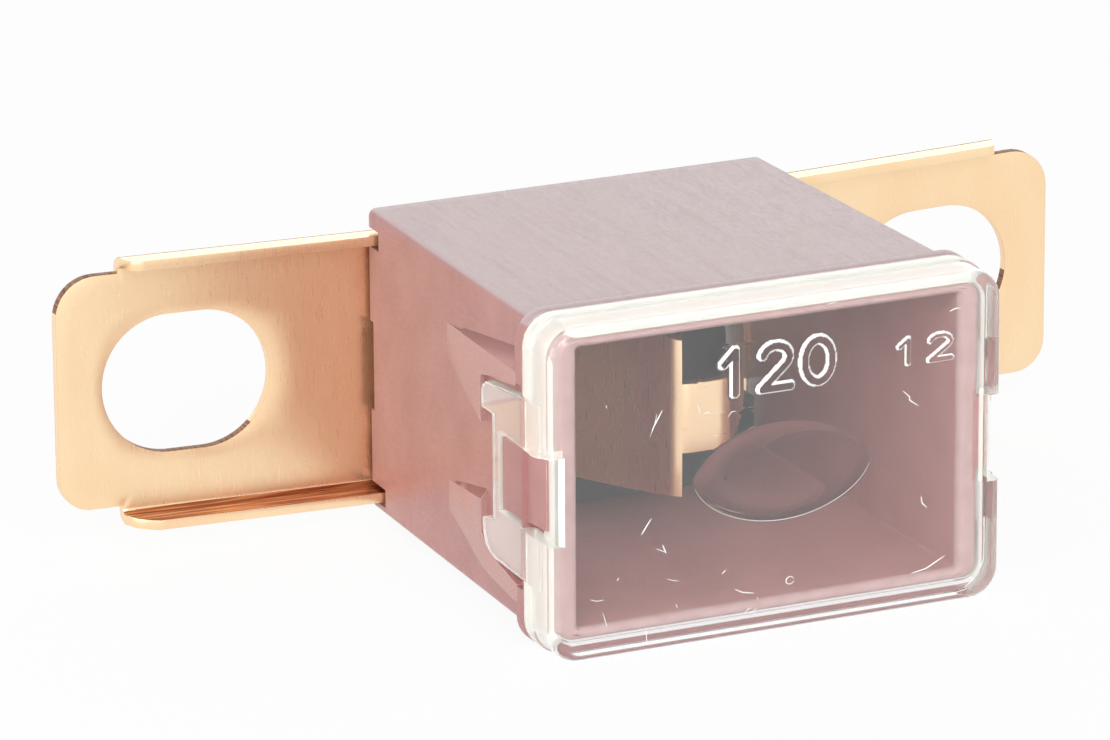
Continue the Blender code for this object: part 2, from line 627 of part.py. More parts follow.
def make_cover(parts, tools, material):
    """The clear clip-on cover: a plate with a stepped skirt, a dished almond and a clip at each end."""
    rear = FLANGE_FRONT + SEAT_GAP
    lip = rounded_rectangle(COVER_HALF, -COVER_DROP, COVER_TOP, COVER_CORNER)
    face = rounded_rectangle(COVER_HALF - COVER_STEP, COVER_STEP - COVER_DROP, COVER_TOP - COVER_STEP,
                             COVER_CORNER)
    blank = from_front("cover_blank", face, rear, COVER_DEPTH, tools)
    blank = baked("cover_face", blank, tools)
    bevel_edges(blank, lambda place: abs(place.y - at_depth(COVER_DEPTH)) < FACE_TOLERANCE, COVER_EDGE, 4)
    combine(blank, from_front("cover_lip", lip, rear, rear + COVER_LIP, tools), "UNION")
    inner_half = COVER_HALF - COVER_STEP - COVER_WALL
    for end, side in (("left", -1), ("right", 1)):
        outer = COVER_HALF - CLIP_INSET
        clip = from_side("clip_" + end, clip_outline(), side * (outer - CLIP_THICKNESS), side * outer, tools)
        combine(blank, clip, "UNION")
    pocket = rounded_rectangle(inner_half, COVER_STEP + COVER_WALL - COVER_DROP,
                               COVER_TOP - COVER_STEP - COVER_WALL, COVER_CORNER - COVER_WALL)
    combine(blank, from_front("pocket", pocket, rear - OVERCUT, PLATE_REAR, tools), "DIFFERENCE")
    for end, side in (("left", -1), ("right", 1)):
        window = box("window_" + end, (side * (COVER_HALF - WINDOW_INSET), WINDOW_REAR, WINDOW_BOTTOM),
                     (side * (COVER_HALF + OVERCUT), COVER_DEPTH + OVERCUT, WINDOW_TOP), tools)
        combine(blank, window, "DIFFERENCE")
    flare = 1 + OVERCUT / DISH_DEPTH
    dish = from_front("dish", dish_outline(DISH_LENGTH, DISH_HEIGHT), COVER_DEPTH - DISH_DEPTH,
                      COVER_DEPTH + OVERCUT, tools)
    middle = at_height(DISH_MIDDLE)
    dish = baked("dish_cutter", dish, tools)
    for point in dish.data.vertices:
        shrink = flare if point.co.y < at_depth(COVER_DEPTH) else 0.0
        point.co.x *= 1 - 2 * DISH_SLOPE / DISH_LENGTH * (1 - shrink)
        point.co.z = middle + (point.co.z - middle) * (1 - 2 * DISH_SLOPE / DISH_HEIGHT * (1 - shrink))
    combine(blank, dish, "DIFFERENCE")
    cover = baked("window_cover", blank, parts)
    finish(cover, material)
    return cover


def build():
    clear_scene()
    parts = new_collection("main_fuse")
    tools = new_collection("cutters")
    copper = new_material("copper_strip", (0.83, 0.47, 0.28), 0.3, metallic=1.0)
    plum = new_material("plum_moulding", (0.50, 0.26, 0.24), 0.45)
    slate = new_material("slate_moulding", (0.10, 0.13, 0.13), 0.5)
    clear = new_material("clear_moulding", (0.95, 0.97, 0.95), 0.06, transmission=1.0)
    make_strip(parts, tools, copper)
    make_plug(parts, tools, slate)
    make_housing(parts, tools, plum)
    make_cover(parts, tools, clear)


build()
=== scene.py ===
# Bolt-in main fuse: a copper strip with two slotted tabs arches through a plum housing behind a clear cover.
#
# X runs along the tabs, -Y is the window's side and Z is up, in metres. A depth is a distance in front of
# the tabs' front face, and a height is a distance over the housing's lower face.

import math

import bmesh
import bpy
import numpy as np
from mathutils import Matrix, Vector


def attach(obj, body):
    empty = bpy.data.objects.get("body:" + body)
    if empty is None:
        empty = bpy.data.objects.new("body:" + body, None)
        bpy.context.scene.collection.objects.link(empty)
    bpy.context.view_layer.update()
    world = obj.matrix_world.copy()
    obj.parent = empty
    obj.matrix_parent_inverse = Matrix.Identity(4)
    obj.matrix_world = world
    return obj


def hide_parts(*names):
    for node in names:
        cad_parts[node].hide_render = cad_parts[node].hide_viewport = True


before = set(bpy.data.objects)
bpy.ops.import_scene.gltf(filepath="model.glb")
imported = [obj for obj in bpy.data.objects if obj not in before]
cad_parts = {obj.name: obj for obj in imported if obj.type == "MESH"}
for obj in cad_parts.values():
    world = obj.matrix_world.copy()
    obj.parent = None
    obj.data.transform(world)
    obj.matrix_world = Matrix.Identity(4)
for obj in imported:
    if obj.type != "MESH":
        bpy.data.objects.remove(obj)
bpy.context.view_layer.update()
MM = 0.001

# Camera: a long lens a third of a metre away, which looks down on the fuse from its left front. The rows of
# its axes are its right, its up and its backward direction.
lens = bpy.data.cameras.new("camera")
lens.sensor_width = 36.0
lens.lens = 240.0
lens.clip_start = 0.01
lens.clip_end = 20.0
camera = bpy.data.objects.new("camera", lens)
camera_place = (-0.1356135, -0.2847715, 0.1093032)
camera_axes = Matrix(((0.90874199, -0.417315, -0.00601522),
                      (0.13186493, 0.27341412, 0.95281497),
                      (-0.39597934, -0.86665617, 0.3034921)))
camera.matrix_world = Matrix.Translation(camera_place) @ camera_axes.transposed().to_4x4()
bpy.context.scene.collection.objects.link(camera)
bpy.context.scene.camera = camera
bpy.context.scene.view_settings.view_transform = "Standard"

# Light: a white room that is softer overhead, and that gloss and glass see at full white, with soft panels
# behind, at the left and in front.
ROOM_LIGHT = 0.85
OVERHEAD_LIGHT = 0.35
world = bpy.data.worlds.new("white_room")
world.use_nodes = True
bpy.context.scene.world = world


def seen_directly(nodes, links):
    """A mask that is 1 for camera, glossy and transmission rays and 0 for the rays that light surfaces."""
    rays = nodes.new("ShaderNodeLightPath")
    seen = rays.outputs["Is Camera Ray"]
    for ray in ("Is Glossy Ray", "Is Transmission Ray"):
        either = nodes.new("ShaderNodeMath")
        either.operation = "MAXIMUM"
        links.new(seen, either.inputs[0])
        links.new(rays.outputs[ray], either.inputs[1])
        seen = either.outputs[0]
    return seen


def map_range(nodes, links, value, source, target):
    """A value carried from one range to another, and held at its ends."""
    ramp = nodes.new("ShaderNodeMapRange")
    ramp.inputs["From Min"].default_value, ramp.inputs["From Max"].default_value = source
    ramp.inputs["To Min"].default_value, ramp.inputs["To Max"].default_value = target
    links.new(value, ramp.inputs["Value"])
    return ramp.outputs["Result"]


room_nodes, room_links = world.node_tree.nodes, world.node_tree.links
room_direction = room_nodes.new("ShaderNodeSeparateXYZ")
room_links.new(room_nodes.new("ShaderNodeTexCoord").outputs["Generated"], room_direction.inputs[0])
lit_by_height = map_range(room_nodes, room_links, room_direction.outputs["Z"], (0.0, 1.0),
                          (ROOM_LIGHT, OVERHEAD_LIGHT))
strength = room_nodes.new("ShaderNodeMix")
room_links.new(seen_directly(room_nodes, room_links), strength.inputs["Factor"])
room_links.new(lit_by_height, strength.inputs["A"])
strength.inputs["B"].default_value = 1.0
room_nodes["Background"].inputs["Color"].default_value = (1.0, 1.0, 1.0, 1.0)
room_links.new(strength.outputs["Result"], room_nodes["Background"].inputs["Strength"])


def soft_panel(name, place, width, height, watts):
    """A rectangular lamp at a place, turned towards the fuse."""
    data = bpy.data.lights.new(name, "AREA")
    data.shape = "RECTANGLE"
    data.size = width
    data.size_y = height
    data.energy = watts
    lamp = bpy.data.objects.new(name, data)
    lamp.location = place
    lamp.rotation_euler = (-Vector(place)).to_track_quat("-Z", "Y").to_euler()
    bpy.context.scene.collection.objects.link(lamp)


soft_panel("panel_behind", (0.12, 0.42, 0.17), 0.5, 0.28, 0.35)
soft_panel("panel_left", (-0.4, -0.1, 0.1), 0.3, 0.2, 0.6)
soft_panel("panel_front", (-0.12, -0.42, 0.24), 0.35, 0.25, 1.35)

# Stage: a white table that takes the fuse's faint shadow.
TABLE_REACH = 6.0
TABLE_WHITE = 0.93
table_corners = [(x * TABLE_REACH, y * TABLE_REACH, 0.0) for x, y in ((-1, -1), (1, -1), (1, 1), (-1, 1))]
table_mesh = bpy.data.meshes.new("table")
table_mesh.from_pydata(table_corners, [], [(0, 1, 2, 3)])
table = bpy.data.objects.new("table", table_mesh)
bpy.context.scene.collection.objects.link(table)
paper = bpy.data.materials.new("white_table")
paper.use_nodes = True
paper_nodes, paper_links = paper.node_tree.nodes, paper.node_tree.links
paper_nodes["Principled BSDF"].inputs["Base Color"].default_value = (0.92, 0.92, 0.92, 1.0)
paper_nodes["Principled BSDF"].inputs["Roughness"].default_value = 0.9
glow = paper_nodes.new("ShaderNodeEmission")
glow.inputs["Color"].default_value = (1.0, 1.0, 1.0, 1.0)
lit_or_white = paper_nodes.new("ShaderNodeMixShader")
table_seen = seen_directly(paper_nodes, paper_links)
paper_links.new(map_range(paper_nodes, paper_links, table_seen, (0.0, 1.0), (0.0, TABLE_WHITE)),
                lit_or_white.inputs["Fac"])
paper_links.new(paper_nodes["Principled BSDF"].outputs[0], lit_or_white.inputs[1])
paper_links.new(glow.outputs[0], lit_or_white.inputs[2])
paper_links.new(lit_or_white.outputs[0], paper_nodes["Material Output"].inputs["Surface"])
table.data.materials.append(paper)


# Housing: one moulding of plum plastic. A drafted tube with a flange near its front, a rim that stands
# inside the cover, and on each end two guard ribs and the catch that the cover's clip holds on to.
SEAT_Y = 10.855 * MM
DROP = 0.57 * MM


def place(x, depth, height):
    """Points in the frame from their distances along X, in front of the tabs and over the lower face."""
    x, depth, height = np.broadcast_arrays(x, depth, height)
    return np.stack([x, SEAT_Y - depth, DROP + height], axis=-1).reshape(-1, 3)


def quads(rows, columns, closed_rows=False, closed_columns=False):
    """Corner numbers of the faces of a grid whose points are numbered row by row."""
    row = np.arange(rows if closed_rows else rows - 1)[:, None]
    column = np.arange(columns if closed_columns else columns - 1)[None, :]
    next_row, next_column = (row + 1) % rows, (column + 1) % columns
    corners = [row * columns + column, row * columns + next_column,
               next_row * columns + next_column, next_row * columns + column]
    return np.stack(corners, axis=-1).reshape(-1, 4).tolist()


def solid(name, shells):
    """One mesh object from (points, faces) shells: doubles are merged and all faces point outwards."""
    points, faces = [], []
    for shell_points, shell_faces in shells:
        faces += [[corner + len(points) for corner in face] for face in shell_faces]
        points += shell_points.tolist()
    mesh = bpy.data.meshes.new(name)
    mesh.from_pydata(points, [], faces)
    work = bmesh.new()
    work.from_mesh(mesh)
    bmesh.ops.remove_doubles(work, verts=work.verts, dist=0.0005 * MM)
    bmesh.ops.dissolve_degenerate(work, edges=work.edges, dist=0.0005 * MM)
    bmesh.ops.recalc_face_normals(work, faces=work.faces)
    work.to_mesh(mesh)
    work.free()
    made = bpy.data.objects.new(name, mesh)
    bpy.context.scene.collection.objects.link(made)
    return made


def apply_modifiers(made):
    """Puts what the modifiers give into the object's own mesh."""
    bpy.context.view_layer.update()
    evaluated = made.evaluated_get(bpy.context.evaluated_depsgraph_get())
    mesh = bpy.data.meshes.new_from_object(evaluated)
    made.modifiers.clear()
    made.data = mesh
    return made


def smooth(made, angle=35.0):
    """Smooth shading with sharp edges over an angle."""
    made.data.shade_smooth()
    made.data.set_sharp_from_angle(angle=math.radians(angle))


def rounded(made, width, segments, angle=40.0, edge_slot=-1):
    """A bevel on every edge sharper than an angle, whose faces may have a material slot of their own."""
    bevel = made.modifiers.new("rounded_edges", "BEVEL")
    bevel.material = edge_slot
    bevel.width = width
    bevel.segments = segments
    bevel.limit_method = "ANGLE"
    bevel.angle_limit = math.radians(angle)
    return apply_modifiers(made)


CORNER_STEPS = 8


def ring(half, low, high, radius, levels):
    """An upright rounded rectangle as x and height arrays.

    Each side passes through the same list of levels, kept between its corners, so that rings of different
    size match point for point. Corner points are centre + radius times (cosine, sine) of a turning angle.
    """
    quarter = np.linspace(0.0, math.pi / 2, CORNER_STEPS + 1)
    side = np.clip(levels, low + radius, high - radius)
    x = np.concatenate([half - radius + radius * np.sin(quarter), np.full(len(side), half),
                        half - radius + radius * np.cos(quarter)])
    height = np.concatenate([low + radius - radius * np.cos(quarter), side,
                             high - radius + radius * np.sin(quarter)])
    return np.concatenate([x, -x[::-1]]), np.concatenate([height, height[::-1]])


BODY_HALF = 9.875
WALL_DRAFT = 0.0239
BODY_TOP = 14.24
REAR = 0.2
# Notches and recess in the rear edge: the heights where each starts and ends, and how far in it reaches.
LOWER_NOTCH, UPPER_NOTCH, RECESS = (0.42, 1.29, 1.80), (12.50, 13.39, 1.40), (4.74, 8.97, 0.65)
CLIP_ROOM = (2.18, 11.47)
CLIP_ROOM_HALF = 10.25
RECESS_ZONE, CLIP_ZONES = 4, (3, 4, 5)
level_edges = [*LOWER_NOTCH[:2], CLIP_ROOM[0], *RECESS[:2], CLIP_ROOM[1], *UPPER_NOTCH[:2]]
levels = np.repeat(level_edges, 2)
zone = np.concatenate([[0], np.repeat(np.arange(1, len(level_edges)), 2), [len(level_edges)]])
rear_of_zone = np.full(len(level_edges) + 1, REAR)
rear_of_zone[[1, RECESS_ZONE, len(level_edges) - 1]] = LOWER_NOTCH[2], RECESS[2], UPPER_NOTCH[2]
corner_rear = np.full(CORNER_STEPS + 1, REAR)
half_rear = np.concatenate([corner_rear, rear_of_zone[zone], corner_rear])
no_room = np.zeros(CORNER_STEPS + 1, dtype=bool)
half_room = np.concatenate([no_room, np.isin(zone, CLIP_ZONES), no_room])
rear_edge = np.concatenate([half_rear, half_rear[::-1]])
clip_room = np.concatenate([half_room, half_room[::-1]])


def wall_half(depth):
    """Half width of the outer wall, which widens evenly towards the front."""
    return BODY_HALF + WALL_DRAFT * depth


def quarter_turn(count):
    """Shares of the two legs of a round corner at a number of points: 1 - cosine and sine of the angle."""
    angle = np.linspace(0.0, math.pi / 2, count)
    return zip(1.0 - np.cos(angle), np.sin(angle))


BODY_CORNER, REAR_ROUND = 0.35, 0.12
FLANGE_REAR, FLANGE_FRONT = 18.6, 19.35
FLANGE_HALF, FLANGE_LOW, FLANGE_HIGH, FLANGE_CORNER = 11.0, -0.57, 14.73, 1.4
FLANGE_ROOT, FLANGE_ROOT_CORNER = 0.22, 0.4
FLANGE_ROUND = ((0.0, -0.12), (0.04, -0.035), (0.12, 0.0))
RIM_HALF, RIM_LOW, RIM_HIGH, RIM_CORNER, RIM_DRAFT = 10.22, 0.21, 13.95, 0.7, 0.02
RIM_FRONT, RIM_ROUND = 21.0, 0.3
MOUTH_HALF, MOUTH_LOW, MOUTH_HIGH, MOUTH_CORNER = 9.56, 0.40, 13.79, 0.62
MOUTH_ROUND, MOUTH_SHARPENING = 0.34, 1.4
ROOM_HALF, ROOM_DRAFT, ROOM_LOW, ROOM_HIGH, ROOM_CORNER = 9.025, 0.009, 0.74, 13.45, 0.14
ROOM_FLARE = 0.075
profile = []                        # depth, half width, low, high, corner radius, all in millimetres
for ahead, inwards in quarter_turn(4):
    inset = REAR_ROUND * (1 - inwards)
    profile.append((REAR + REAR_ROUND * ahead, wall_half(0.3) - inset, inset, BODY_TOP - inset,
                    BODY_CORNER - inset))
for depth in (0.9, 1.9, 5.0, 9.0, 13.0, 17.0, 18.3):
    profile.append((depth, wall_half(depth), 0.0, BODY_TOP, BODY_CORNER))
for ahead, inwards in quarter_turn(4):
    out = FLANGE_ROOT * ahead
    profile.append((FLANGE_REAR - FLANGE_ROOT * (1 - inwards), wall_half(FLANGE_REAR) + out, -out,
                    BODY_TOP + out, FLANGE_ROOT_CORNER + out))
flange_edges = [(FLANGE_REAR + ahead, out) for ahead, out in FLANGE_ROUND]
flange_edges += [(FLANGE_FRONT - ahead, out) for ahead, out in FLANGE_ROUND[::-1]]
for depth, out in flange_edges:
    profile.append((depth, FLANGE_HALF + out, FLANGE_LOW - out, FLANGE_HIGH + out, FLANGE_CORNER + out))
profile.append((FLANGE_FRONT, RIM_HALF + RIM_DRAFT, RIM_LOW - RIM_DRAFT, RIM_HIGH + RIM_DRAFT, RIM_CORNER))
profile.append((RIM_FRONT - RIM_ROUND, RIM_HALF, RIM_LOW, RIM_HIGH, RIM_CORNER))
for ahead, inwards in quarter_turn(6):
    inset = RIM_ROUND * ahead
    profile.append((RIM_FRONT - RIM_ROUND * (1 - inwards), RIM_HALF - inset, RIM_LOW + inset,
                    RIM_HIGH - inset, RIM_CORNER - inset))
for ahead, inwards in quarter_turn(7):
    inset = MOUTH_ROUND * inwards
    profile.append((RIM_FRONT - MOUTH_ROUND * ahead, MOUTH_HALF - inset, MOUTH_LOW + inset,
                    MOUTH_HIGH - inset, MOUTH_CORNER - MOUTH_SHARPENING * inset))
for depth in (19.0, 15.0, 8.0, 2.2):
    profile.append((depth, ROOM_HALF + ROOM_DRAFT * depth, ROOM_LOW, ROOM_HIGH, ROOM_CORNER))
profile.append((REAR + 0.15, ROOM_HALF, ROOM_LOW, ROOM_HIGH, ROOM_CORNER))
profile.append((REAR, ROOM_HALF + ROOM_FLARE, ROOM_LOW - 0.04, ROOM_HIGH + 0.05, ROOM_CORNER))

rows = []
for depth, half, low, high, radius in profile:
    x, height = ring(half, low, high, radius, levels)
    on_flange = FLANGE_REAR - 0.05 < depth < FLANGE_FRONT - 0.05
    on_flange = on_flange or (depth == FLANGE_FRONT and half > RIM_HALF + 0.3)
    x = np.where(clip_room & on_flange, np.clip(x, -CLIP_ROOM_HALF, CLIP_ROOM_HALF), x)
    rows.append(place(x * MM, np.maximum(depth, rear_edge) * MM, height * MM))
shells = [(np.concatenate(rows), quads(len(rows), len(rows[0]), True, True))]

RIB_START, RIB_OUTER, RIB_LEAN, RIB_ROOT = 9.35, 10.09, 0.0978, 0.3


def rib(side, depth, top, foot, wall_top):
    """A guard rib: at each depth a four-cornered section from inside the wall to the leaning outer face."""
    outer = RIB_OUTER + RIB_LEAN * (depth - RIB_START)
    inner = wall_half(depth) - RIB_ROOT
    slope = (wall_top - top) / (wall_half(depth) - outer + 1e-9)
    root = np.where(outer > wall_half(depth) + 0.02, top + slope * (inner - outer), top)
    section_x = side * np.stack([inner, outer, outer, inner], axis=1) * MM
    section_height = np.stack([root, top, foot, foot], axis=1) * MM
    points = place(section_x, depth[:, None] * MM, section_height)
    count = len(depth)
    caps = [[0, 1, 2, 3], [4 * count - 1, 4 * count - 2, 4 * count - 3, 4 * count - 4]]
    return points, quads(count, 4, False, True) + caps


# Each rib, by depth: its own top and foot edges, and the line where its top meets the wall.
upper_depth = np.array([9.3, 9.4, 9.68, 11.5, 13.0, 13.98, 14.0, 15.2, 16.5, 18.0, 18.75])
upper_top = 11.45 + 0.0545 * (upper_depth - RIB_START)
upper_foot = np.array([11.2, 10.4, 9.82, 9.15, 8.59, 8.23, 10.42, 10.72, 10.92, 11.18, 11.32])
upper_wall = 11.47 + 0.143 * (upper_depth - RIB_START)
lower_depth = np.array([9.3, 9.4, 10.4, 11.31, 12.8, 13.93, 13.95, 14.6, 15.3, 16.3, 18.0, 18.75])
lower_top = np.array([4.05, 4.13, 4.25, 4.35, 4.52, 4.65, 3.2, 2.85, 2.6, 2.42, 2.3, 2.25])
lower_foot = np.array([2.9, 2.72, 2.5, 2.31, 1.85, 1.58, 1.57, 1.5, 1.45, 1.43, 1.41, 1.41])
lower_wall = np.where(lower_depth < 13.94, 4.16 + 0.2 * (lower_depth - 9.39), lower_top)
catch_x = np.array([9.6, 10.95, 10.93, 10.55, 9.6])
catch_depth = np.array([17.25, 17.25, 17.6, 20.95, 20.95])
CATCH_FOOT, CATCH_TOP = 5.28, 8.58
ends = []
for side in (-1, 1):
    ends.append(rib(side, upper_depth, upper_top, upper_foot, upper_wall))
    ends.append(rib(side, lower_depth, lower_top, lower_foot, lower_wall))
    catch = [place(side * catch_x * MM, catch_depth * MM, level * MM) for level in (CATCH_FOOT, CATCH_TOP)]
    ends.append((np.concatenate(catch), quads(2, 5, False, True) + [[0, 1, 2, 3, 4], [9, 8, 7, 6, 5]]))


def face_places(made):
    """Centres of an object's faces, in millimetres along x, depth and height, and the ways they face."""
    count = len(made.data.polygons)
    centres, normals = np.empty(3 * count), np.empty(3 * count)
    made.data.polygons.foreach_get("center", centres)
    made.data.polygons.foreach_get("normal", normals)
    centres, normals = centres.reshape(-1, 3) / MM, normals.reshape(-1, 3)
    return centres[:, 0], SEAT_Y / MM - centres[:, 1], centres[:, 2] - DROP / MM, normals * (1, -1, 1)


def face_slots(made):
    """The material slot of each face of an object."""
    slots = np.empty(len(made.data.polygons), dtype=np.int32)
    made.data.polygons.foreach_get("material_index", slots)
    return slots


def join(made, extra):
    """Adds another object's mesh to an object's own, and removes the other."""
    work = bmesh.new()
    work.from_mesh(made.data)
    work.from_mesh(extra.data)
    work.to_mesh(made.data)
    work.free()
    bpy.data.objects.remove(extra)


housing = solid("housing_moulding", shells)
details = solid("end_details", ends)
WALL_SLOT, RIB_SLOT, EDGE_HIGHLIGHT_SLOT, RIM_SLOT = 0, 1, 2, 3
for _ in (WALL_SLOT, RIB_SLOT, EDGE_HIGHLIGHT_SLOT):
    details.data.materials.append(None)
x, depth, height, facing = face_places(details)
on_catch = (depth > 17.2) & (height > 5.2) & (height < 8.7)
slots = np.where(on_catch, WALL_SLOT, RIB_SLOT)
details.data.polygons.foreach_set("material_index", slots.astype(np.int32))
# The bevels' slot carries a painted highlight along the edges.
rounded(details, 0.07 * MM, 3, edge_slot=EDGE_HIGHLIGHT_SLOT)
join(housing, details)
smooth(housing)
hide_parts("housing")
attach(housing, "root")


def new_material(name, colour, roughness, metallic=0.0):
    """A node material whose plain values sit on its shader."""
    made = bpy.data.materials.new(name)
    made.use_nodes = True
    shader = made.node_tree.nodes["Principled BSDF"]
    shader.inputs["Base Color"].default_value = (*colour, 1.0)
    shader.inputs["Roughness"].default_value = roughness
    shader.inputs["Metallic"].default_value = metallic
    return made, made.node_tree.nodes, made.node_tree.links, shader


def stretched_noise(nodes, links, stretch, scale, detail=3.0):
    """Noise on object coordinates that are stretched along each axis."""
    spot = nodes.new("ShaderNodeTexCoord")
    mapping = nodes.new("ShaderNodeMapping")
    mapping.inputs["Scale"].default_value = stretch
    links.new(spot.outputs["Object"], mapping.inputs["Vector"])
    noise = nodes.new("ShaderNodeTexNoise")
    noise.inputs["Scale"].default_value = scale
    noise.inputs["Detail"].default_value = detail
    links.new(mapping.outputs[0], noise.inputs["Vector"])
    return noise.outputs["Fac"]


def ramped(nodes, links, factor, stops):
    """Colours or greys along a factor, from (place, colour) stops."""
    ramp = nodes.new("ShaderNodeValToRGB")
    elements = ramp.color_ramp.elements
    while len(elements) < len(stops):
        elements.new(0.5)
    for element, (where, colour) in zip(elements, stops):
        element.position = where
        element.color = (*colour, 1.0)
    links.new(factor, ramp.inputs["Fac"])
    return ramp.outputs["Color"]


def bump(nodes, links, height, strength, distance, shader, below=None):
    """Relief from a height on top of another relief."""
    relief = nodes.new("ShaderNodeBump")
    relief.inputs["Strength"].default_value = strength
    relief.inputs["Distance"].default_value = distance
    links.new(height, relief.inputs["Height"])
    if below is not None:
        links.new(below, relief.inputs["Normal"])
    links.new(relief.outputs["Normal"], shader.inputs["Normal"])
    return relief.outputs["Normal"]


def mixed(nodes, links, factor, first, second):
    """A colour between two colour outputs."""
    mix = nodes.new("ShaderNodeMix")
    mix.data_type = "RGBA"
    links.new(factor, mix.inputs["Factor"])
    links.new(first, mix.inputs["A"])
    links.new(second, mix.inputs["B"])
    return mix.outputs["Result"]


def above(nodes, links, height, fade):
    """A mask that is 1 over a height of the frame and fades to 0 just under it."""
    spot = nodes.new("ShaderNodeTexCoord")
    parts = nodes.new("ShaderNodeSeparateXYZ")
    links.new(spot.outputs["Object"], parts.inputs[0])
    return map_range(nodes, links, parts.outputs["Z"], (height - fade, height), (0.0, 1.0))


def plum_moulding():
    """Plum plastic with faint clouds, its top face painted paler: scuffs streaked along the depth, and a
    painted highlight of the glare from above.
    """
    made, nodes, links, shader = new_material("plum_moulding", (0.46, 0.20, 0.18), 0.36)
    cloud = stretched_noise(nodes, links, (1.0, 1.0, 1.0), 420.0)
    body = ramped(nodes, links, cloud, [(0.3, (0.39, 0.185, 0.175)), (0.7, (0.445, 0.22, 0.208))])
    brushed = stretched_noise(nodes, links, (1.0, 0.08, 1.0), 2600.0, 5.0)
    scuffs_and_glare = ramped(nodes, links, brushed, [(0.25, (0.45, 0.32, 0.325)), (0.5, (0.49, 0.36, 0.36)),
                                             (0.8, (0.51, 0.38, 0.378))])
    # Over the top face the colour turns pale: real scuffs along the depth plus a painted highlight of the
    # glare from above.
    links.new(mixed(nodes, links, above(nodes, links, DROP + 14.2 * MM, 0.1 * MM), body, scuffs_and_glare),
              shader.inputs["Base Color"])
    streak = stretched_noise(nodes, links, (1.0, 0.25, 1.0), 9000.0, 2.0)
    links.new(ramped(nodes, links, streak, [(0.35, (0.30,) * 3), (0.7, (0.46,) * 3)]),
              shader.inputs["Roughness"])
    grain = bump(nodes, links, streak, 0.25, 0.01 * MM, shader)
    bump(nodes, links, cloud, 0.3, 0.05 * MM, shader, grain)
    return made


def beside(nodes, links, near, far):
    """A mask that rises from 0 to 1 between two distances from the middle plane, in metres."""
    spot = nodes.new("ShaderNodeTexCoord")
    parts = nodes.new("ShaderNodeSeparateXYZ")
    away = nodes.new("ShaderNodeMath")
    away.operation = "ABSOLUTE"
    links.new(spot.outputs["Object"], parts.inputs[0])
    links.new(parts.outputs["X"], away.inputs[0])
    return map_range(nodes, links, away.outputs[0], (near, far), (0.0, 1.0))


def rib_plum():
    """The ribs' plum plastic: fine pale speckle, and painted shade near the wall where a face looks up."""
    made, nodes, links, shader = new_material("rib_plum", (0.5, 0.27, 0.25), 0.42)
    speckle = stretched_noise(nodes, links, (1.0, 1.0, 1.0), 13000.0, 2.0)
    face = ramped(nodes, links, speckle, [(0.35, (0.47, 0.25, 0.23)), (0.6, (0.52, 0.30, 0.28)),
                                          (0.78, (0.60, 0.40, 0.38))])
    # Faces that look up are painted dark near the wall: painted shade in the crease between rib and wall.
    painted_shelf_shade = ramped(nodes, links, beside(nodes, links, 10.1 * MM, 10.75 * MM),
                   [(0.0, (0.20, 0.055, 0.055)), (0.6, (0.31, 0.11, 0.105)), (1.0, (0.45, 0.21, 0.20))])
    direction = nodes.new("ShaderNodeSeparateXYZ")
    links.new(nodes.new("ShaderNodeNewGeometry").outputs["Normal"], direction.inputs[0])
    facing_up = map_range(nodes, links, direction.outputs["Z"], (0.25, 0.5), (0.0, 1.0))
    links.new(mixed(nodes, links, facing_up, face, painted_shelf_shade), shader.inputs["Base Color"])
    bump(nodes, links, speckle, 0.2, 0.01 * MM, shader)
    return made


def clouded(name, colour, roughness, metallic, stretch, scale, detail, stops):
    """A material with one noise that sets its colour, from (place, colour) stops."""
    made, nodes, links, shader = new_material(name, colour, roughness, metallic)
    noise = stretched_noise(nodes, links, stretch, scale, detail)
    links.new(ramped(nodes, links, noise, stops), shader.inputs["Base Color"])
    return made


# The rounded edges of the ribs and catch are painted pale: a painted highlight along the edges.
edge_highlight = clouded("plum_edge_highlight", (0.62, 0.43, 0.41), 0.4, 0.0, (1.0, 0.3, 0.3), 6000.0, 2.0,
                    [(0.35, (0.50, 0.28, 0.26)), (0.65, (0.72, 0.55, 0.53))])
pressed_rim = clouded("pressed_rim", (0.42, 0.27, 0.26), 0.5, 0.0, (1.0, 1.0, 1.0), 1400.0, 3.0,
                      [(0.3, (0.40, 0.255, 0.245)), (0.7, (0.46, 0.31, 0.30))])
for finish in (plum_moulding(), rib_plum(), edge_highlight, pressed_rim):
    housing.data.materials.append(finish)
x, depth, height, facing = face_places(housing)
slots = face_slots(housing)
beside_catch = (np.abs(x) > 9.95) & (height > 5.2) & (height < 8.7)
slots[(depth > 20.65) & (np.abs(x) < 10.24) & ~beside_catch] = RIM_SLOT
housing.data.polygons.foreach_set("material_index", slots)


# Copper strip: one stamped sheet. Its narrow link arches over in front, its legs sweep down to the feet,
# and its tabs have a slotted hole and two folded lips each.
SHEET = 0.45
STRIP_MIDDLE, TAB_MIDDLE = 7.2, 6.9
LINK_HALF, LEG_HALF = 1.6, 3.63
LINK_FRONT, LINK_FLAT = 14.4, 0.58
SHOULDER_RADIUS, SHOULDER_ANGLE = 0.975, math.radians(55.0)
FOOT_RADIUS, FOOT_ANGLE = 1.225, math.radians(73.0)
TAB_RISE = math.radians(1.5)
NECK, TAB_END, TAB_HALF = 9.125, 25.0, 5.47
LOWER_CORNER, UPPER_CORNER = 1.5, 1.9
FOLD, LIP_BEND, LIP_END = 5.595, 0.45, 22.0
LIP_COLUMNS, BEND_ROWS, FLANK_ROWS = 45, 9, 7
# How far each lip stands in front of the tab, and the length of the slope at its outer end.
LOWER_LIP, UPPER_LIP = (1.6, 1.3), (1.15, 0.5)
SLOT_X, SLOT_HEIGHT, SLOT_REACH, SLOT_RADIUS = 18.81, 0.10, 0.81, 3.25


